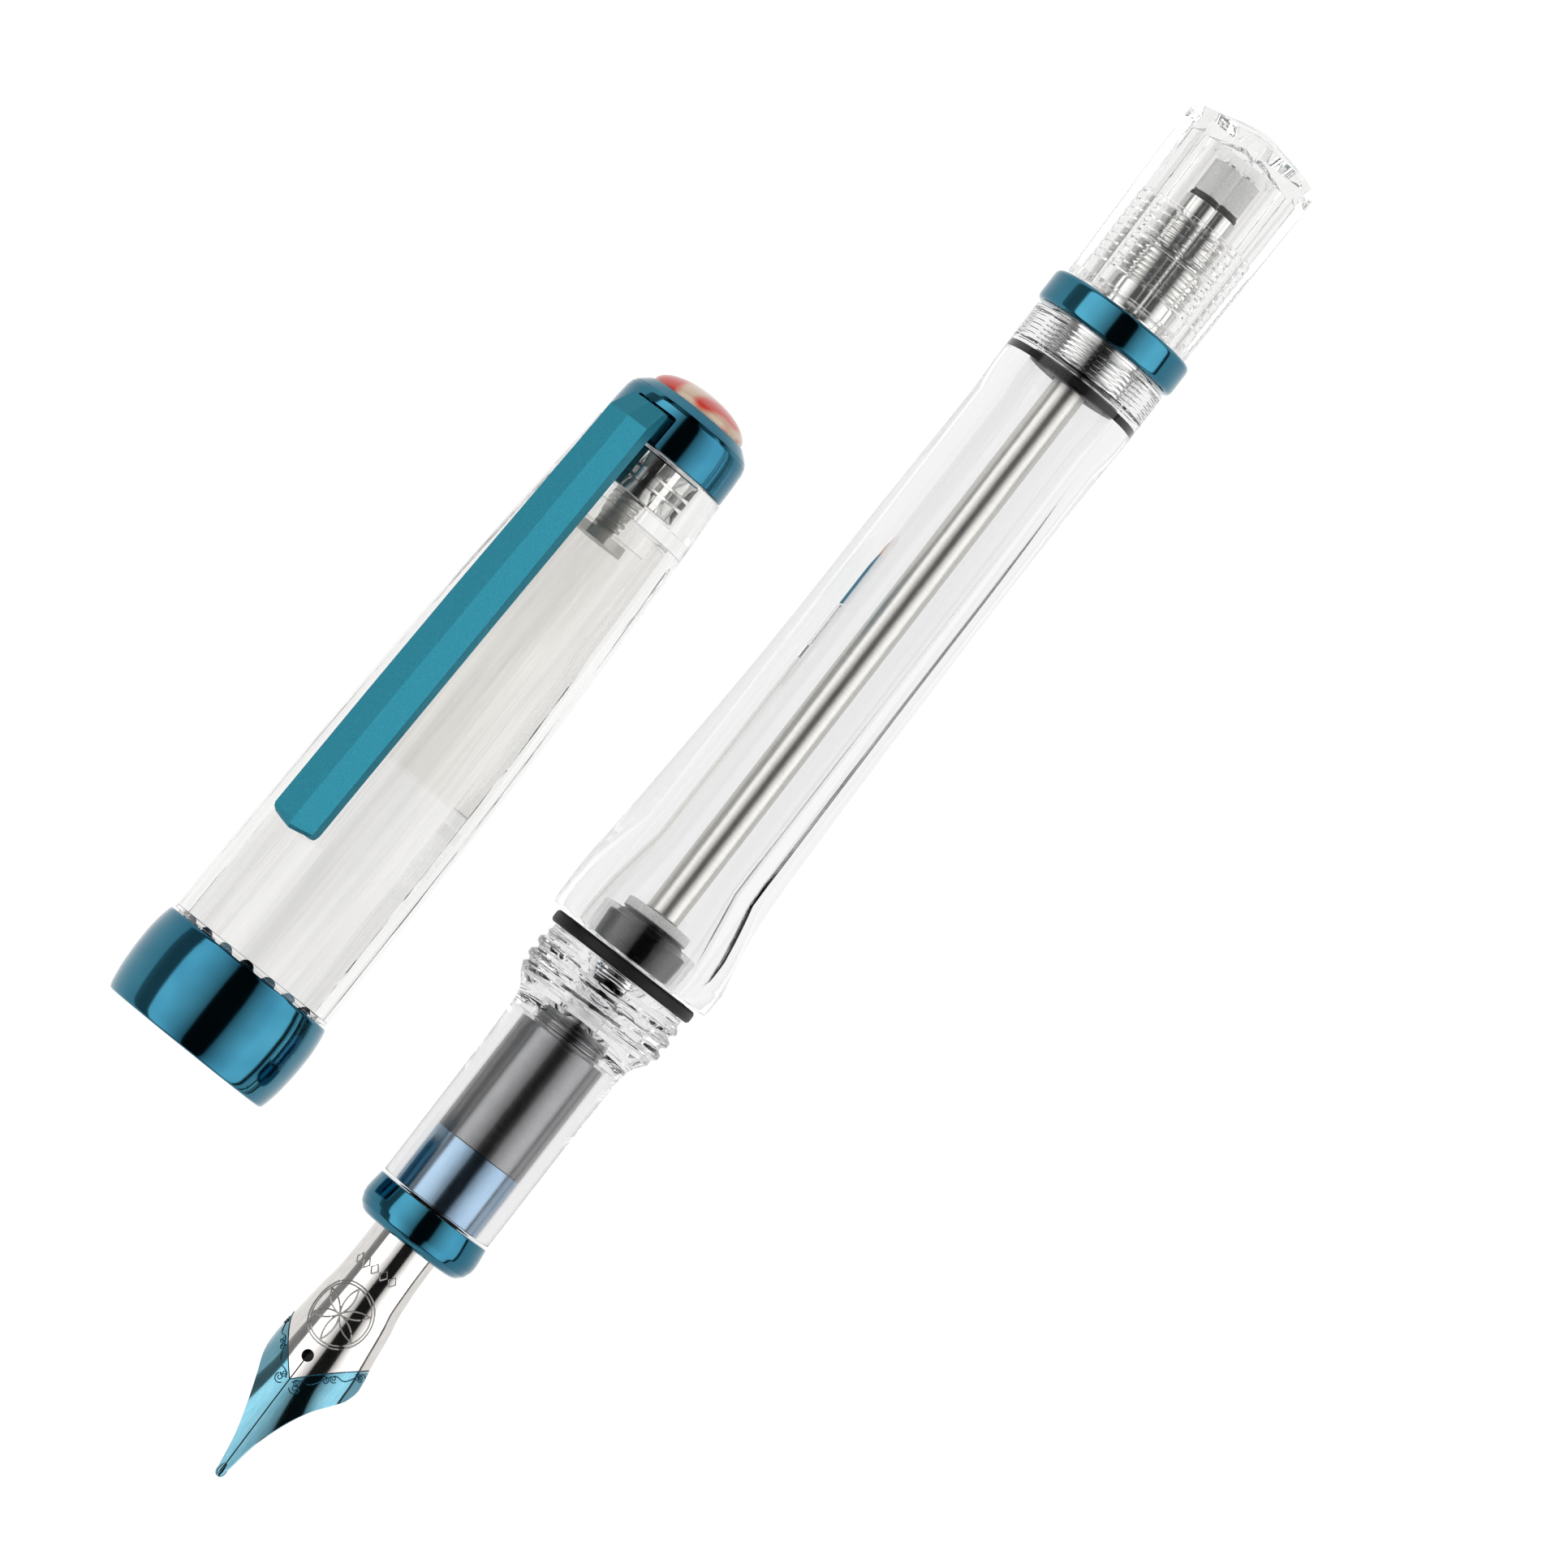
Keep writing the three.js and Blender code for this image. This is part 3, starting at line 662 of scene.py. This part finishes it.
def make_engraving():
    """Scrollwork on the plating. On the steel, a plain rosette of six petals and a row of diamonds."""
    middle, rim = 15.6, 2.72
    rosette = [circle(middle, 0, rim), circle(middle, 0, rim - 0.24)]
    reach = rim - 0.34
    for petal in range(6):
        for side in (1, -1):
            bearing = petal * 60 + side * 60
            a = math.radians(bearing)
            rosette.append(circle(
                middle + reach * math.cos(a), reach * math.sin(a), reach, bearing + 180, -side * 60, 16))
    for i in range(-2, 3):
        s = i * 0.86
        rosette.append([(19.5, s), (19.95, s + 0.34), (20.4, s), (19.95, s - 0.34), (19.5, s)])
    edge = [[(plating_edge(s) + 0.02, side * s) for s in (0.05 * i for i in range(110))] for side in (1, -1)]
    lift, margin = 0.005, 0.12

    def laid(paths):
        kept = [[p for p in path if abs(p[1]) < nib_reach(p[0]) - margin] for path in paths]
        return [[on_nib(x, s, lift) for x, s in path] for path in kept if len(path) > 2]
    scrolls = wires("nib_scrolls", laid(vine(1) + vine(-1) + edge), 0.05)
    place("nib_scrolls", scrolls, NIB, FINISHES["scroll"], "nib_unit")
    lines = wires("nib_rosette", laid(rosette), 0.07)
    place("nib_rosette", lines, NIB, FINISHES["engraving"], "nib_unit")


def make_feed():
    """The ink feed under the nib: a ridged comb that ends in a plain round tail."""
    half = through([(4.2, 0.4), (7, 1.1), (11, 1.9), (15, 2.35), (18, 2.5), (25.9, 2.5)])
    top = through([(4.2, 2.3), (7, 2.4), (15, 2.4), (18, 2.45), (25.9, 2.5)])
    bottom = through([(4.2, 1.9), (7, 0.9), (11, -0.9), (15, -2.1), (18, -2.5), (25.9, -2.5)])

    def loop(x, scale):
        """The section at x, drawn in by scale at the sides and below but not on top."""
        middle, tall = (top(x) + bottom(x)) / 2, (top(x) - bottom(x)) / 2
        points = []
        for i in range(48):
            a = TAU * (i + 0.5) / 48
            upright = scale if math.cos(a) < 0.2 else 1
            points.append((x, scale * half(x) * math.sin(a), middle + tall * upright * math.cos(a)))
        return points

    groove, pitch, comb_end, tail_end, slimmer = 0.84, 0.72, 25.9, 44.0, 0.92
    loops = [loop(4.2, 0.6), loop(4.4, 1)]
    x = 9.0
    while x < 25.4:
        loops += [loop(x, 1), loop(x + 0.03, groove), loop(x + 0.3, groove), loop(x + 0.33, 1)]
        x += pitch
    loops += [loop(comb_end, 1), [(x, y * slimmer, z * slimmer) for x, y, z in loop(25.95, 1)]]
    tail = [(tail_end, y, z) for _, y, z in loops[-1]]
    place("feed", lofted("feed", loops + [tail]), NIB, FINISHES["feed"], "nib_unit", ["feed"])


# ---------------------------------------------------------------- section

def tube_piece(name, outside, inside, material, body, slot, nodes, space=PEN, soft=0.08, **how):
    """Place a turned piece with a bore, from its outer and inner outlines."""
    outline = eased([*outside, *inside], soft)
    return place(name, turned(name, outline, **how), space, FINISHES[material], body, nodes)


def make_section():
    trim = [(22.9, 3.4), (22.9, 4.2), (23.05, 4.5), (23.5, 4.95), (24.1, 5.19), (24.6, 5.24), (25.2, 5.19),
            (26.2, 5.05)]
    tube_piece("grip_trim_ring", trim, [(26.2, 3.3), (23, 3.3)], "teal", "section_unit", "teal_plating",
               ["grip_trim_ring"], soft=0.1)
    tube_piece("nib_collar", [(26.55, 3.87), (31.85, 3.87)], [(31.85, 2.62), (26.55, 2.62)], "blue",
               "section_unit", "blue_plating", ["nib_collar"], soft=0.04)
    tail = [(42.8 + 0.05 * i, 2.92) for i in range(43)]
    housing = [(31.9, 3.87), (42.5, 3.87), (42.6, 2.92), *tail, (45, 2.92)]
    tube_piece("nib_housing", housing, [(45, 2.62), (31.9, 2.62)], "dark", "section_unit", "dark_sleeve",
               ["nib_housing"], soft=0.04, shapes=[screw_thread(42.8, 44.9, 0.5, 2.92, 3.1, 0.2)])

    root, crest, start, end, pitch = 6.15, 6.52, 45.1, 49.0, 1.2
    neck = through([(26.45, 5.0), (36, 5.02), (42.6, 5.12), (43.9, 5.36), (44.7, 5.95), (45.0, 6.15)])
    outside = sampled(neck, 26.45, 45, 0.4) + [(x, root) for x, _ in sampled(neck, 45.06, 49.06, 0.05)]
    outside += [(49.35, root), (49.35, 5.6), (50.5, 5.6), (50.5, 4.35), (53.6, 4.35)]
    inside = [(53.6, 3.85), (50.9, 3.85), (49.2, 3), (47.8, 1.6), (45.3, 1.6), (45.3, 3.3), (42.8, 3.3),
              (42.8, 4.02), (26.45, 4.02)]
    thread = screw_thread(start, end, pitch, root, crest)
    tube_piece("grip_section", outside, inside, "grip", "section_unit", "clear_acrylic", ["grip_section"],
               shapes=[thread])
    ring = eased([(49.42, 5.64), (49.42, 6.64), (50.46, 6.64), (50.46, 5.64)], 0.36, 7)
    place("section_o_ring", turned("section_o_ring", ring), PEN, FINISHES["rubber"], "section_ring",
          ["section_o_ring"])


# ---------------------------------------------------------------- barrel and its collar

def make_barrel():
    body = through([
        (50.8, 7.3), (51.8, 7.4), (52.4, 7.42), (53.6, 7.42), (59.6, 7.1), (66, 6.75), (78.3, 6.3),
        (90.8, 6.15), (102, 5.95), (106, 6.06), (110.1, 6.06)])
    distance = through([
        (50, 8.1), (56, 6.75), (59.6, 6.3), (64, 6.12), (78.3, 5.87), (90.8, 5.8), (102, 5.94), (111, 7)])
    outside = [(50.7, 7.2), (50.8, 7.29)] + sampled(body, 51.3, 110.1, 0.35)
    thread_from, thread_to, seat = 107.2, 109.9, 4.42
    bore = [(110.1, seat)] + [(x, seat) for x, _ in sampled(body, thread_to, thread_from, 0.05)]
    bore += [(107.15, 4), (104.6, 4), (102.4, 3.75), (80, 3.75), (61.5, 3.75), (59.6, 3.78), (54.8, 4.6),
             (50.7, 5)]
    flats_of = flatted_ring(1, 90, distance, 5.3, 14, 72)
    thread = screw_thread(thread_from, thread_to, 0.4, seat, seat + 0.14, 0.3)

    def ring(x, r):
        return [(px, pa, thread(px, pr, pa)) for px, pa, pr in flats_of(x, r)]
    outline = eased(outside + bore, 0.07)
    place("barrel", turned("barrel", outline, ring=ring, sharp=14), PEN, FINISHES["barrel"], "barrel_unit",
          ["barrel"])


def make_rear_end():
    bore = 1.6
    outside = [(107.3, 3.9), (107.4, 4)] + [(107.45 + 0.05 * i, 4) for i in range(52)]
    outside += [(110.1, 4), (110.1, 4.6), (113, 4.6), (113, 3.55), (115.6, 3.55), (115.7, 3.4)]
    outside += [(115.75 + 0.05 * i, 3.4) for i in range(64)] + [(119, 3.4)]
    inside = [(119, bore), (109.3, bore), (109.3, 2.5), (108.2, 2.5), (108.2, bore), (107.3, bore)]
    threads = [screw_thread(107.5, 109.9, 0.4, 4, 4.22, 0.2), screw_thread(115.8, 118.9, 0.4, 3.4, 3.58, 0.2)]
    tube_piece("rear_collar", outside, inside, "steel", "barrel_unit", "turned_steel", ["rear_collar"],
               soft=0.06, shapes=threads)
    trim = [(110.4, 5.0), (110.4, 6.0), (110.5, 6.22), (110.68, 6.36), (110.95, 6.4), (112.65, 6.4),
            (112.92, 6.36), (113.1, 6.22), (113.2, 6.0)]
    tube_piece("rear_trim_ring", trim, [(113.2, 4.85), (110.4, 4.85)], "teal", "barrel_unit", "teal_plating",
               ["rear_trim_ring"])
    tube_piece("chamber_o_ring", [(106.1, 3.9), (106.25, 4.02), (106.85, 4.02), (107, 3.9)],
               [(107, 1.68), (106.1, 1.68)], "rubber", "barrel_unit", "black_rubber", ["chamber_o_ring"])
    seal = turned("rod_seal", arc(108.75, 2.03, 0.4, 0, 345, 19), steps=96)
    place("rod_seal", seal, PEN, FINISHES["rubber"], "barrel_unit", ["rod_seal"])


# ---------------------------------------------------------------- plunger

def make_plunger():
    rod = [(50.95, 0), (50.95, 1), (54.95, 1), (54.95, 1.4), (55.05, 1.47), (119.1, 1.47), (119.1, 1.2)]
    rod += [(119.3 + 0.05 * i, 1.1) for i in range(168)] + [(127.7, 1.0), (127.8, 0)]
    thread = screw_thread(119.4, 127.6, 0.35, 1.1, 1.2, 0.2)
    place("plunger_rod", turned("plunger_rod", rod, shapes=[thread], steps=96), PEN, FINISHES["rod"],
          "plunger_unit", ["plunger_rod"])
    seal = [(51, 2.9), (51.15, 3.3), (51.5, 3.5), (53, 3.6), (53.15, 3.55), (53.25, 3.1), (53.5, 2.95),
            (53.95, 2.85)]
    tube_piece("piston_seal", seal, [(53.95, 1.12), (51, 1.12)], "rubber_shine", "piston_unit",
               "black_rubber", ["piston_seal"])
    tube_piece("piston_washer", [(54.1, 2.95), (54.85, 2.95)], [(54.85, 1.12), (54.1, 1.12)], "white",
               "piston_unit", "white_plastic", ["piston_washer"], soft=0.12)
    screw = eased([(49.5, 0), (49.5, 0.7), (49.7, 1.1), (50.2, 1.8), (50.8, 1.9), (50.8, 0)], 0.1)
    place("piston_screw", turned("piston_screw", screw, steps=96), PEN, FINISHES["steel"], "plunger_unit",
          ["piston_screw"])


def make_knob():
    sides, facing, plain, tip_start, near = 8, 27, 3.76, 129.85, 0.01
    corner = straight([(113.4, 5.72), (129.8, 6.05), (131.2, 0.8)])
    slope = math.cos(math.pi / sides)
    outside = [(113.4, 5.64), (113.48, 5.72)] + sampled(corner, 113.6, 129.7, 0.8)
    outside += [(129.8, 6.03)] + sampled(corner, 129.92, 131.2, 0.2) + [(131.2, 0)]
    inside = [(129.2, 0), (128.1, 3.5), (122.4, 3.5)]
    inside += [(122.35 - 0.06 * i, plain) for i in range(110)]
    inside += [(115.6, 3.9), (114.3, 3.9), (114.3, 4.9), (113.4, 4.9)]
    flats_of = flatted_ring(sides, facing, lambda x: slope * corner(x), 5.2, 10, 2)
    tip_of = flatted_ring(sides, facing, lambda x: slope * corner(x), 0, 10, 2)
    thread = screw_thread(115.9, 122.3, 0.8, plain, 3.86, 0.3)

    def ring(x, r):
        on_tip = x > tip_start and abs(r - corner(x)) < near
        points = tip_of(x, r) if on_tip else flats_of(x, r)
        return [(px, pa, thread(px, pr, pa)) for px, pa, pr in points]
    shell = list(reversed(outside))[1:]
    hollow = eased(list(reversed(inside)), 0.05)[:-1]
    outline = [(131.2, 0), *shell, *hollow, (129.2, 0)]
    place("filler_knob", turned("filler_knob", outline, ring=ring, sharp=20), PEN, FINISHES["knob"],
          "plunger_unit", ["filler_knob"])


def make_knob_fittings():
    bore = 1.35
    outside = [(119.3, 2.9)] + [(119.4 + 0.05 * i, 2.95) for i in range(57)]
    outside += [(122.3, 2.9), (122.3, 2.42), (123.95, 2.42)]
    thread = screw_thread(119.5, 122.1, 0.4, 2.95, 3.12, 0.2)
    tube_piece("knob_anchor", outside, [(123.95, bore), (119.3, bore)], "steel", "plunger_unit",
               "turned_steel", ["knob_anchor"], soft=0.06, shapes=[thread])
    tube_piece("knob_washer", [(124.1, 2.2), (124.4, 2.2)], [(124.4, bore), (124.1, bore)], "rubber",
               "plunger_unit", "black_rubber", ["knob_washer"])
    hexagon = flatted_ring(6, 30, lambda x: 2.3 * math.cos(math.pi / 6), 1.9, 6, 2)
    tube_piece("knob_nut", [(124.55, 2.18), (124.75, 2.3), (127.15, 2.3), (127.35, 2.18)],
               [(127.35, bore), (124.55, bore)], "white", "plunger_unit", "white_plastic", ["knob_nut"],
               soft=0.05, ring=hexagon, sharp=40)


# ---------------------------------------------------------------- cap

def make_cap_band():
    belly = through([
        (0.1, 7.44), (0.5, 7.58), (2.4, 7.86), (4.2, 7.95), (5.2, 7.95), (6.6, 7.84), (7.6, 7.66)])
    outside = [(0, 7.3), *sampled(belly, 0.1, 7.6, 0.25), (7.8, 7.55)]
    inside = [(7.8, 7.44), (7.8, 7.1), (0.7, 7.1), (0.7, 6.7), (0, 6.7)]
    tube_piece("cap_band", outside, inside, "teal", "cap_shell", "teal_plating", ["cap_band"], CAP, soft=0.06)


def make_band_teeth():
    """Small rounded teeth round the band's inner end, which key it to the clear tube."""
    count, foot, middle, length, half_width = 20, 7.7, 7.75, 0.56, 0.62
    low, high, mean = 6.5, 6.64, 6.6
    bends = [TAU / 4 * (k - 6) / 6 for k in range(13)]
    rim = [(foot, -half_width)]
    rim += [(middle + length * math.cos(a), half_width * math.sin(a)) for a in bends]
    rim += [(foot, half_width)]

    teeth = bmesh.new()
    for i in range(count):
        around = [(x, TAU * i / count + width / mean) for x, width in rim]
        rows = []
        for r in (low, high):
            points = [Vector((x, r * math.sin(a), r * math.cos(a))) * MM for x, a in around]
            rows.append([teeth.verts.new(point) for point in points])
        teeth.faces.new(rows[0][::-1])
        teeth.faces.new(rows[1])
        for k in range(len(rim)):
            after = (k + 1) % len(rim)
            teeth.faces.new((rows[0][k], rows[0][after], rows[1][after], rows[1][k]))
    bmesh.ops.recalc_face_normals(teeth, faces=teeth.faces)
    mesh = bpy.data.meshes.new("band_teeth")
    teeth.to_mesh(mesh)
    teeth.free()
    place("band_teeth", mesh, CAP, FINISHES["scroll"], "cap_shell")


def make_cap_tube():
    outer = through([(7.95, 7.42), (20.8, 7.3), (33.3, 7.08), (42, 6.72), (49.6, 6.38), (58.2, 5.88)])
    inner = through([(8.9, 6.3), (27.2, 6.1), (53, 4.95)])
    outside = [(0.9, 6.98), (7.95, 6.98)] + sampled(outer, 7.95, 58.2, 0.7)
    inside = [(58.2, 4), (54.2, 4), (54.2, 1.6), (53, 1.6)] + sampled(inner, 53, 8.9, 0.7)
    seat = 6.66
    inside += [(8.35, 6.3), (8.3, seat)] + [(7.9 - 0.08 * i, seat) for i in range(85)] + [(0.9, seat)]
    facets = facet_ring(20, lambda x: inner(x) * 0.9885, 8.3, 52.9)
    thread = screw_thread(1.6, 7.4, 1.2, seat, 6.84, 0.5)

    def ring(x, r):
        return [(px, pa, thread(px, pr, pa)) for px, pa, pr in facets(x, r)]
    outline = eased(outside + inside, 0.05)
    place("cap_tube", turned("cap_tube", outline, ring=ring, sharp=14), CAP, FINISHES["cap"], "cap_shell",
          ["cap_tube"])


def make_cap_fittings():
    outside = [(27.2, 5.7), (27.35, 5.78), (40, 5.23), (52.4, 4.66), (52.7, 4.4)]
    inside = [(52.7, 1.6), (51.2, 1.6), (51.2, 3.9), (40, 4.5), (27.7, 5.1), (27.2, 5.3)]
    tube_piece("inner_cap", outside, inside, "liner", "cap_liner", "milky_plastic", ["inner_cap"], CAP)

    screw = [(50.2, 0), (50.2, 2.2), (51, 2.3), (51, 1.2)] + [(51.1 + 0.05 * i, 1.2) for i in range(129)]
    screw += [(57.6, 1.1), (57.6, 0)]
    thread = screw_thread(51.3, 57.4, 0.5, 1.2, 1.33, 0.2)
    place("cap_screw", turned("cap_screw", screw, shapes=[thread], steps=96), CAP, FINISHES["screw"],
          "cap_shell", ["cap_screw"])

    flutes, flute_depth = 16, 0.6

    def fluted(x, r, angle):
        if r < 3.4 or not 54.6 < x < 57.8:
            return r
        wave = (angle * flutes / TAU) % 1
        return r if 0.28 < wave < 0.72 else r - flute_depth
    groove = [(54.4, 3.6), (54.5, 3.75), (55.6, 3.75), (55.65, 3.3), (55.85, 3.3), (55.9, 3.75), (56.5, 3.75),
              (56.55, 3.3), (56.75, 3.3), (56.8, 3.75), (57.9, 3.75), (58, 3.6)]
    insert = turned("finial_insert", [*groove, (58, 1.5), (54.4, 1.5)], shapes=[fluted], steps=192)
    place("finial_insert", insert, CLIP, FINISHES["steel"], "cap_shell", ["finial_insert"])


def make_crown():
    outside = [(58.35, 5.0), (58.35, 5.74), (58.45, 5.8), (60.0, 5.76), (61.2, 5.68), (61.7, 5.56),
               (62.05, 5.36), (62.3, 5.1), (62.7, 4.62), (62.8, 4.5)]
    inside = [(62.8, 4.32), (61.9, 4.32), (61.9, 1.5), (58.35, 1.5)]
    ring = turned("crown", eased([*outside, *inside], 0.06))
    notch_half = 1.8 + 0.3
    notch = box_mesh("notch", (57.9, -notch_half, 4.3), (61.1, notch_half, 8))
    cut = combined(ring, [bevelled(notch, 0.25)], "DIFFERENCE")
    cut.shade_smooth()
    cut.set_sharp_from_angle(angle=math.radians(30))
    place("cap_crown_ring", cut, CLIP, FINISHES["teal"], "cap_shell", ["cap_crown_ring"])

    edge, top, reach, rows = 62.85, 64.6, 4.26, 24
    dome = [(62.12, 0), (62.12, 4.22), (edge, reach)]
    for i in range(1, rows + 1):
        angle = TAU / 4 * i / rows
        dome.append((edge + (top - edge) * math.sin(angle), reach * math.cos(angle) if i < rows else 0))
    place("finial_jewel", turned("finial_jewel", dome, steps=128, sharp=50), CLIP, FINISHES["jewel"],
          "cap_shell", ["finial_jewel"])


def clip_loop(x, half, ridge, thickness, point=0.0):
    """The clip's section: two panels that meet in a low ridge, over a flat back."""
    rise, side_drop, side = 0.17, 0.35, 0.62
    top = [(-half, ridge - rise), (-half * 0.5, ridge - rise / 2), (0, ridge), (half * 0.5, ridge - rise / 2),
           (half, ridge - rise)]
    low = ridge - side_drop - thickness * side
    back = [(half, low), (half * 0.8, ridge - thickness), (-half * 0.8, ridge - thickness), (-half, low)]
    return [(x + point * (abs(y) / half) ** 1.2, y, z) for y, z in top + back]


def make_clip():
    bar = lofted("clip", [
        clip_loop(18.05, 1.95, 8.55, 0.8, 0.4), clip_loop(18.35, 2.15, 8.86, 1.15, 0.36),
        clip_loop(18.8, 2.25, 8.95, 1.25, 0.2), clip_loop(30, 2.24, 8.74, 1.28), clip_loop(40, 2.2, 8.5, 1.3),
        clip_loop(50, 2.1, 8.2, 1.5), clip_loop(58.9, 2.0, 7.93, 1.75), clip_loop(60.8, 1.7, 6.75, 0.65)])
    leg = box_mesh("leg", (58.75, -1.5, 4.6), (60.7, 1.5, 6.3))
    pad = turned("pad", [(7.5, 0), (7.5, 0.8), (7.6, 1.05), (7.85, 1.2), (8.1, 1.2), (8.1, 0)], steps=48)
    pad.transform(Matrix.Translation((20.7 * MM, 0, 0)) @ Matrix.Rotation(-TAU / 4, 4, "Y"))
    whole = combined(bar, [leg, pad], "UNION")
    soft = bevelled(whole, 0.07, 25)
    soft.set_sharp_from_angle(angle=math.radians(5))
    place("clip", soft, CLIP, FINISHES["satin"], "clip_arm", ["clip"])


# ---------------------------------------------------------------- studio

FLOOR_REACH = 3000
FLOOR_TOP = -0.12       # the turned pieces' true circles dip a little below the plane z = 0
FLOOR_BOTTOM = -2


def make_floor():
    """A plain white light table, as bright as the photograph's background."""
    low = (-FLOOR_REACH, -FLOOR_REACH, FLOOR_BOTTOM)
    floor = box_mesh("floor", low, (FLOOR_REACH, FLOOR_REACH, FLOOR_TOP))
    finish = Finish("white_table")
    finish.set(
        Base_Color=(0.03, 0.03, 0.03, 1),
        Roughness=1.0,
        Specular_IOR_Level=0.0,
        Emission_Color=(1, 1, 1, 1),
        Emission_Strength=1.0,
    )
    floor.materials.append(finish.material)
    item = bpy.data.objects.new("floor", floor)
    bpy.context.scene.collection.objects.link(item)


# Brightness of the surroundings by angle from straight up, towards +y. Two long soft lights hang
# along the pen, with a dark gap between them.
SKY = [
    (-90, 0.04), (-85, 0.05), (-83, 2.2), (-62, 2.4), (-44, 1.7), (-30, 0.85), (-24.5, 0.45), (-23, 0.01),
    (7.5, 0.01), (9, 0.5), (20, 1.1), (36, 1.9), (50, 2.4), (62, 2.4), (65, 0.26), (80, 0.26), (90, 0.4)]
SKY_PEAK = 2.4
SKY_ENDS = 0.78      # sine of the angle at which the lights end, along the pen


def make_sky():
    world = bpy.data.worlds.new("studio")
    bpy.context.scene.world = world
    world.use_nodes = True
    tree = world.node_tree
    tree.nodes.clear()
    new, link = tree.nodes.new, tree.links.new
    split = new("ShaderNodeSeparateXYZ")
    link(new("ShaderNodeTexCoord").outputs["Generated"], split.inputs["Vector"])
    angle = new("ShaderNodeMath")
    angle.operation = "ARCTAN2"
    link(split.outputs["Y"], angle.inputs[0])
    link(split.outputs["Z"], angle.inputs[1])
    spread = new("ShaderNodeMapRange")
    spread.inputs["From Min"].default_value = -TAU / 4
    spread.inputs["From Max"].default_value = TAU / 4
    link(angle.outputs["Value"], spread.inputs["Value"])
    profile = new("ShaderNodeValToRGB")
    link(spread.outputs["Result"], profile.inputs["Fac"])
    set_ramp(profile, [((a + 90) / 180, v / SKY_PEAK) for a, v in SKY])
    along = new("ShaderNodeMath")
    along.operation = "ABSOLUTE"
    link(split.outputs["X"], along.inputs[0])
    ends = new("ShaderNodeValToRGB")
    link(along.outputs["Value"], ends.inputs["Fac"])
    set_ramp(ends, [(0, 1), (SKY_ENDS, 1), (SKY_ENDS + 0.05, 0.12), (1, 0.16)])
    both = new("ShaderNodeMix")
    both.data_type = "RGBA"
    both.blend_type = "MULTIPLY"
    both.inputs[0].default_value = 1
    link(profile.outputs["Color"], both.inputs[6])
    link(ends.outputs["Color"], both.inputs[7])
    light = new("ShaderNodeBackground")
    light.inputs["Strength"].default_value = SKY_PEAK
    link(both.outputs[2], light.inputs["Color"])
    link(light.outputs["Background"], new("ShaderNodeOutputWorld").inputs["Surface"])


def set_ramp(node, stops):
    elements = node.color_ramp.elements
    while len(elements) < len(stops):
        elements.new(0.5)
    for element, (position, value) in zip(elements, stops):
        element.position = position
        element.color = (value, value, value, 1)


FRAME_WIDTH = 0.12075                   # metres across the picture, at its centre
CAMERA_HEIGHT = 0.69
FRAME_CENTRE = Vector((0.0030, -0.01285, 0.008))
CAMERA_LEAN = Vector((-0.008, 0.001, 0))
IMAGE_TURN = math.radians(-52.26)
SENSOR_WIDTH = 36


def make_camera():
    data = bpy.data.cameras.new("camera")
    data.sensor_width = SENSOR_WIDTH
    data.lens = SENSOR_WIDTH * CAMERA_HEIGHT / FRAME_WIDTH
    data.clip_end = 20
    camera = bpy.data.objects.new("camera", data)
    bpy.context.scene.collection.objects.link(camera)
    place_at = FRAME_CENTRE + CAMERA_LEAN + Vector((0, 0, CAMERA_HEIGHT))
    back = (place_at - FRAME_CENTRE).normalized()
    up = Vector((-math.sin(IMAGE_TURN), math.cos(IMAGE_TURN), 0))
    right = up.cross(back).normalized()
    up = back.cross(right)
    camera.matrix_world = Matrix.Translation(place_at) @ Matrix((right, up, back)).transposed().to_4x4()
    bpy.context.scene.camera = camera


def set_light_paths():
    scene = bpy.context.scene
    scene.view_settings.view_transform = "Standard"
    scene.cycles.max_bounces = 28
    scene.cycles.transmission_bounces = 24
    scene.cycles.glossy_bounces = 12
    scene.cycles.caustics_refractive = True
    scene.cycles.caustics_reflective = True


make_camera()
make_sky()
make_floor()
make_nib()
make_engraving()
make_feed()
make_section()
make_barrel()
make_rear_end()
make_plunger()
make_knob()
make_knob_fittings()
make_cap_band()
make_band_teeth()
make_cap_tube()
make_cap_fittings()
make_crown()
make_clip()
set_light_paths()
